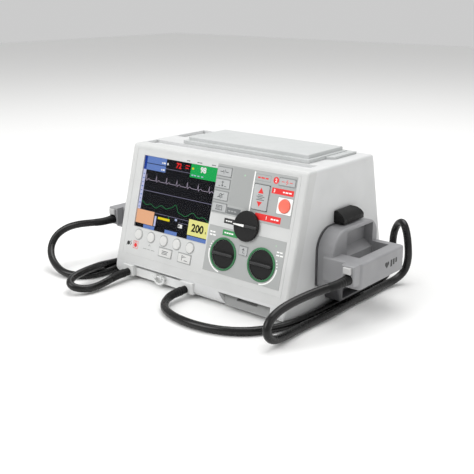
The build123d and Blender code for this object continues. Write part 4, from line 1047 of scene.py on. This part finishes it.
@dataclass
class RoofBattery:
    """The grip ribs on the battery pack's pull tab."""

    ribs: int = 5
    pitch: float = 7.0
    tab_inset: float = 0.0068
    tab_y: float = 0.032
    tab_top: float = 0.16245

    def build(self) -> None:
        """Make the ribs."""
        low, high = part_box("battery_pack")
        face = Face.from_axis([high[0] - self.tab_inset, self.tab_y, self.tab_top], [0, 0, 1],
                              (1, 0, 0), 0, 0)
        for step in range(self.ribs):
            place = (0.0, (step - (self.ribs - 1) / 2) * self.pitch)
            rib = cap(f"battery_tab_rib_{step + 1}", face, place, stadium(3.4, 24),
                      *rounded_edge(0.9, -0.4, 0.6, 0.45), Finish.BATTERY)
            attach(rib, "battery_pack")
        LOG.info("battery pack is %.0f mm long", (high[0] - low[0]) / MM)


@dataclass
class RearSockets:
    """The metal collars and pins of the lead sockets and the mains inlet."""

    face: Face
    socket_us: tuple[float, float] = (-4.0, -34.0)
    socket_v: float = 62.0
    inlet: tuple[float, float] = (48.0, 58.0)
    floor_lift: float = -14.0
    pin_tip: float = -5.8
    pins: int = 5
    pin_circle: float = 4.5

    def build(self) -> None:
        """Make a collar and five pins in each socket, and three blades in the inlet."""
        for number, u in enumerate(self.socket_us, 1):
            radii = np.array([8.3, 8.3, 8.0, 7.4, 7.2, 7.2])
            lifts = np.array([-8.0, 1.1, 1.6, 1.6, 1.3, -8.0])
            collar = cap(f"socket_collar_{number}", self.face, (u, self.socket_v), stadium(0.0, 64),
                         radii, lifts, Finish.STEEL)
            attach(collar, CASE)
            for pin in range(self.pins):
                way = TURN * pin / self.pins
                place = (u + self.pin_circle * math.cos(way),
                         self.socket_v + self.pin_circle * math.sin(way))
                self.pin(f"socket_{number}_pin_{pin + 1}", place, stadium(0.0, 16), 1.15)
        for number, (du, dv) in enumerate(((0.0, 3.5), (-7.0, -3.0), (7.0, -3.0)), 1):
            place = (self.inlet[0] + du, self.inlet[1] + dv)
            self.pin(f"inlet_pin_{number}", place, stadium(0.0, 24), 2.35)
        LOG.info("rear sockets have their collars and pins")

    def pin(self, name: str, place: tuple[float, float],
            outline: tuple[np.ndarray, np.ndarray], radius: float) -> None:
        """Make one contact, with a rounded tip, over the frame's plain pin."""
        piece = cap(name, self.face, place, outline,
                    *rounded_edge(radius, self.floor_lift, self.pin_tip, radius * 0.6),
                    Finish.STEEL)
        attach(piece, CASE)


@dataclass
class PaddleCord:
    """A paddle's cord from the cable connector to the paddle, with a sleeve at each end.

    bend_start, near the case, and bend_end, near the paddle, are not used.
    """

    hand: Hand
    route: list[tuple[float, float, float]]
    diameter: float = 0.009
    around: int = 20
    sleeve_length: float = 0.022
    bend_start: tuple[float, float, float] = (0.1701, -0.0552, 0.0259)
    bend_end: tuple[float, float, float] = (0.1795, -0.063, 0.054)

    def centreline(self) -> np.ndarray:
        """Read the cord's smooth line from a NURBS spline through its control points."""
        curve = bpy.data.curves.new("route", "CURVE")
        curve.dimensions = "3D"
        curve.resolution_u = 10
        spline = curve.splines.new("NURBS")
        spline.points.add(len(self.route) - 1)
        homogeneous = np.hstack([np.array(self.route) * MM, np.ones((len(self.route), 1))])
        spline.points.foreach_set("co", homogeneous.ravel())
        spline.order_u = 3
        spline.use_endpoint_u = True
        holder = bpy.data.objects.new("route", curve)
        mesh = bpy.data.meshes.new_from_object(holder)
        line = np.empty(len(mesh.vertices) * 3)
        mesh.vertices.foreach_get("co", line)
        bpy.data.objects.remove(holder)
        bpy.data.curves.remove(curve)
        bpy.data.meshes.remove(mesh)
        return line.reshape(-1, 3)

    def tube(self, name: str, line: np.ndarray, radii: np.ndarray,
             finish: Finish) -> bpy.types.Object:
        """Carry a circle along a line without twisting it.

        Each station's sideways direction is the last one less its part along the new tangent, and
        a point is the station plus the radius times the circle in that frame.

        Args:
            name: the piece's name.
            line: (n, 3) stations in metres.
            radii: the radius at each station.
            finish: what it is made of.

        Returns:
            The closed tube.
        """
        tangent = np.gradient(line, axis=0)
        tangent /= np.linalg.norm(tangent, axis=1)[:, None]

        def carry(side: np.ndarray, along: np.ndarray) -> np.ndarray:
            """Turn the last sideways direction square to the next tangent."""
            square = side - along * (side @ along)
            return square / np.linalg.norm(square)

        start = carry(np.array([1.0, 0.1, 0.05]), tangent[0])
        side = np.array(list(accumulate(tangent[1:], carry, initial=start)))
        rise = np.cross(tangent, side)
        angle = np.arange(self.around) * TURN / self.around
        ring = side[:, None] * np.cos(angle)[:, None] + rise[:, None] * np.sin(angle)[:, None]
        points = (line[:, None] + ring * radii[:, None, None]).reshape(-1, 3)
        faces = grid_faces(len(line), self.around)
        faces.append(list(range(self.around))[::-1])
        faces.append([(len(line) - 1) * self.around + i for i in range(self.around)])
        return new_piece(name, points, faces, finish, 60.0)

    def sleeve(self, line: np.ndarray, name: str) -> bpy.types.Object:
        """Make a ribbed bend sleeve over the first stretch of a line that starts at a gland.

        Its radius tapers from 1.13 to 1.04 times the cord's, with a sine of six ribs on it that
        fades out towards the far end.
        """
        run = np.concatenate([[0], np.cumsum(np.linalg.norm(np.diff(line, axis=0), axis=1))])
        stations = np.linspace(0.0, self.sleeve_length, 60)
        way = np.stack([np.interp(stations, run, line[:, i]) for i in range(3)], 1)
        share = stations / self.sleeve_length
        swell = 1.13 - 0.09 * share + 0.035 * (1 - share) * np.sin(share * TURN * 6)
        radii = self.diameter / 2 * swell
        return self.tube(name, way, radii, Finish.GLAND)

    def build(self) -> None:
        """Make the cord and its sleeves, with the root sleeve on the case and the end sleeve on the
        paddle.
        """
        word, side = self.hand.word, self.hand.value
        line = self.centreline()
        cord = self.tube(f"{word}_cord_jacket", line, np.full(len(line), self.diameter / 2),
                         Finish.CABLE)
        root = self.sleeve(line, f"{word}_cord_root_sleeve")
        end = self.sleeve(line[::-1], f"{word}_cord_end_sleeve")
        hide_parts(f"{word}_cord")
        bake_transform(cord)
        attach(root, CASE)
        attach(end, f"{word}_paddle")


RIGHT_ROUTE = [
    (-10.2, -108.4, 9.6), (-10.2, -119.4, 9.6), (-9, -133, 7.4), (-0.5, -146, 5.2),
    (16, -155.5, 4.7), (38, -160.5, 4.7), (64, -161, 4.8), (90, -154.5, 4.7), (112, -141, 4.7),
    (127, -120, 4.7), (135.5, -96, 4.7), (139, -68, 4.7), (138.6, -35, 4.7), (139.6, 2, 4.7),
    (139.2, 36, 4.7), (140.6, 68, 4.7), (141.5, 92, 8.8), (138, 109, 21), (132.5, 119, 37),
    (131, 123, 54), (136.8, 121.5, 67), (146.8, 115.5, 72), (155, 110, 63), (159.6, 107.5, 48),
    (161.8, 106.5, 31), (160, 103, 15.5), (154.6, 91.5, 6.6), (151, 70, 4.7), (151.4, 35, 4.7),
    (150.4, -4, 4.7), (151.4, -42, 4.7), (149.6, -76, 4.7), (148.8, -105, 4.7), (150.2, -130, 5.2),
    (151.6, -148, 8.6), (151.2, -156.5, 18.5), (149.8, -151.5, 29), (150.6, -137.5, 36),
    (154.6, -120.5, 41), (161, -104, 45.2), (169.4, -89.5, 49.4), (177.2, -80, 52.4),
    (179.5, -72, 53.4), (179.5, -63, 53.4),
]
LEFT_ROUTE = [
    (-105.6, -108.4, 9.6), (-105.6, -119.4, 9.6), (-104.6, -135, 7.2), (-103, -152, 5.8),
    (-104.4, -167.5, 6.2), (-112.4, -178, 8.6), (-122.4, -178.6, 11.8), (-129.2, -168.5, 14.8),
    (-131.6, -152, 16.4), (-133.4, -135, 16.6), (-137.8, -117, 15), (-144.4, -98, 11),
    (-149.6, -74, 7), (-151.2, -46, 4.7), (-150.8, -12, 4.7), (-151.8, 22, 4.7), (-154, 54, 4.7),
    (-165, 80, 4.7), (-181, 101, 4.7), (-189.5, 126, 4.7), (-180.5, 151, 4.7), (-158, 162, 4.7),
    (-138, 150, 4.7), (-132, 126, 4.7), (-137.4, 100, 4.7), (-140.2, 70, 4.7), (-139, 36, 4.7),
    (-139.8, -4, 4.7), (-138.6, -42, 4.7), (-139, -78, 4.7), (-137, -106, 4.7), (-141, -128, 4.7),
    (-153, -142.5, 4.7), (-170.5, -147.5, 5.4), (-189, -145, 9.2), (-206, -139.5, 16.8),
    (-217, -130.5, 27), (-219.5, -119.5, 38), (-212, -108.5, 47), (-199.5, -98.5, 51.8),
    (-187.5, -87.5, 53.3), (-181.4, -79.5, 53.6), (-179.5, -72, 53.4), (-179.5, -63, 53.4),
]


@dataclass
class Studio:
    """The pale floor, the soft lights and the camera."""

    focal_mm: float = 61.56
    stand: tuple[float, float, float] = (0.5969, -0.7307, 0.3412)
    aim: tuple[float, float, float] = (-0.01722, 0.0, 0.04732)
    lit_point: tuple[float, float, float] = (0.0, 0.0, 0.08)
    floor_half: float = 4.0
    floor_level: float = -0.0002
    air: float = 0.6
    lights: tuple[tuple[str, tuple[float, float, float], float, float], ...] = (
        ("front_softbox", (-0.7, -1.5, 1.35), 1.3, 19.0),
        ("right_softbox", (1.7, 0.1, 1.0), 1.2, 3.0),
        ("roof_softbox", (-0.1, 0.5, 1.9), 1.6, 24.0),
    )

    def turned(self, stand: tuple[float, float, float], aim: tuple[float, float, float]) -> Euler:
        """Give the rotation that makes a light or a camera look from one point to another."""
        return (Vector(aim) - Vector(stand)).to_track_quat("-Z", "Y").to_euler()

    def build(self) -> None:
        """Set up the floor, the lights, the world and the camera."""
        scene = bpy.context.scene
        scene.view_settings.view_transform = "Standard"
        world = bpy.data.worlds.new("studio_air")
        world.use_nodes = True
        world.node_tree.nodes["Background"].inputs["Color"].default_value = (1, 1, 1, 1)
        world.node_tree.nodes["Background"].inputs["Strength"].default_value = self.air
        scene.world = world
        corners = [(x * self.floor_half, y * self.floor_half, self.floor_level)
                   for x, y in ((-1, -1), (1, -1), (1, 1), (-1, 1))]
        mesh = bpy.data.meshes.new("studio_floor")
        mesh.from_pydata(corners, [], [[0, 1, 2, 3]])
        mesh.materials.append(Shader("studio_floor", "f4f4f3", 0.7).material)
        floor = bpy.data.objects.new("studio_floor", mesh)
        scene.collection.objects.link(floor)
        for name, place, size, power in self.lights:
            lamp = bpy.data.lights.new(name, "AREA")
            lamp.size, lamp.energy = size, power
            holder = bpy.data.objects.new(name, lamp)
            holder.location = place
            holder.rotation_euler = self.turned(place, self.lit_point)
            scene.collection.objects.link(holder)
        camera = bpy.data.objects.new("camera", bpy.data.cameras.new("camera"))
        camera.data.lens = self.focal_mm
        camera.data.sensor_width = 36.0
        camera.data.clip_start = 0.05
        camera.location = self.stand
        camera.rotation_euler = self.turned(self.stand, self.aim)
        scene.collection.objects.link(camera)
        scene.camera = camera
        LOG.info("studio is lit by %d softboxes", len(self.lights))


def main() -> None:
    """Load the frame, build each sub-assembly on it in order and note the sizes."""
    logging.basicConfig(level=logging.INFO, format="%(name)s: %(message)s")
    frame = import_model()
    joints = {joint["name"]: joint for joint in frame["joints"]}
    turn = joints["selector_turn"]
    panel = Face.from_axis(turn["pos_m"], turn["axis"], (1, 0, 0), *KnobAt.SELECTOR.value)
    low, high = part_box("main_housing")
    LOG.info("case is %.0f mm wide", (high[0] - low[0]) / MM)
    CaseShells(frame["nodes"]).dress()
    LiveScreen(panel).build()
    keys = ControlKeys(panel)
    keys.build()
    PanelPrintAndShade(panel, keys).build()
    TurnKnob("selector_knob", panel, KnobAt.SELECTOR, 16.9, 0.8, 3.2, 1.8, pointer=True).build()
    TurnKnob("output_knob", panel, KnobAt.OUTPUT, 16.0, -1.9, 1.8, 3.6).build()
    TurnKnob("rate_knob", panel, KnobAt.RATE, 16.0, -1.9, 1.8, 3.6).build()
    for hand in Hand:
        HandPaddle(hand).build()
    RoofBattery().build()
    lean = math.atan2(BACK_RUN, BACK_RISE)
    back = Face.from_axis(BACK_FOOT, [0, math.cos(lean), math.sin(lean)], (-1, 0, 0), 0.0, 0.0)
    RearSockets(back).build()
    PaddleCord(Hand.RIGHT, RIGHT_ROUTE).build()
    PaddleCord(Hand.LEFT, LEFT_ROUTE).build()
    Studio().build()


if __name__ == "__main__":
    main()
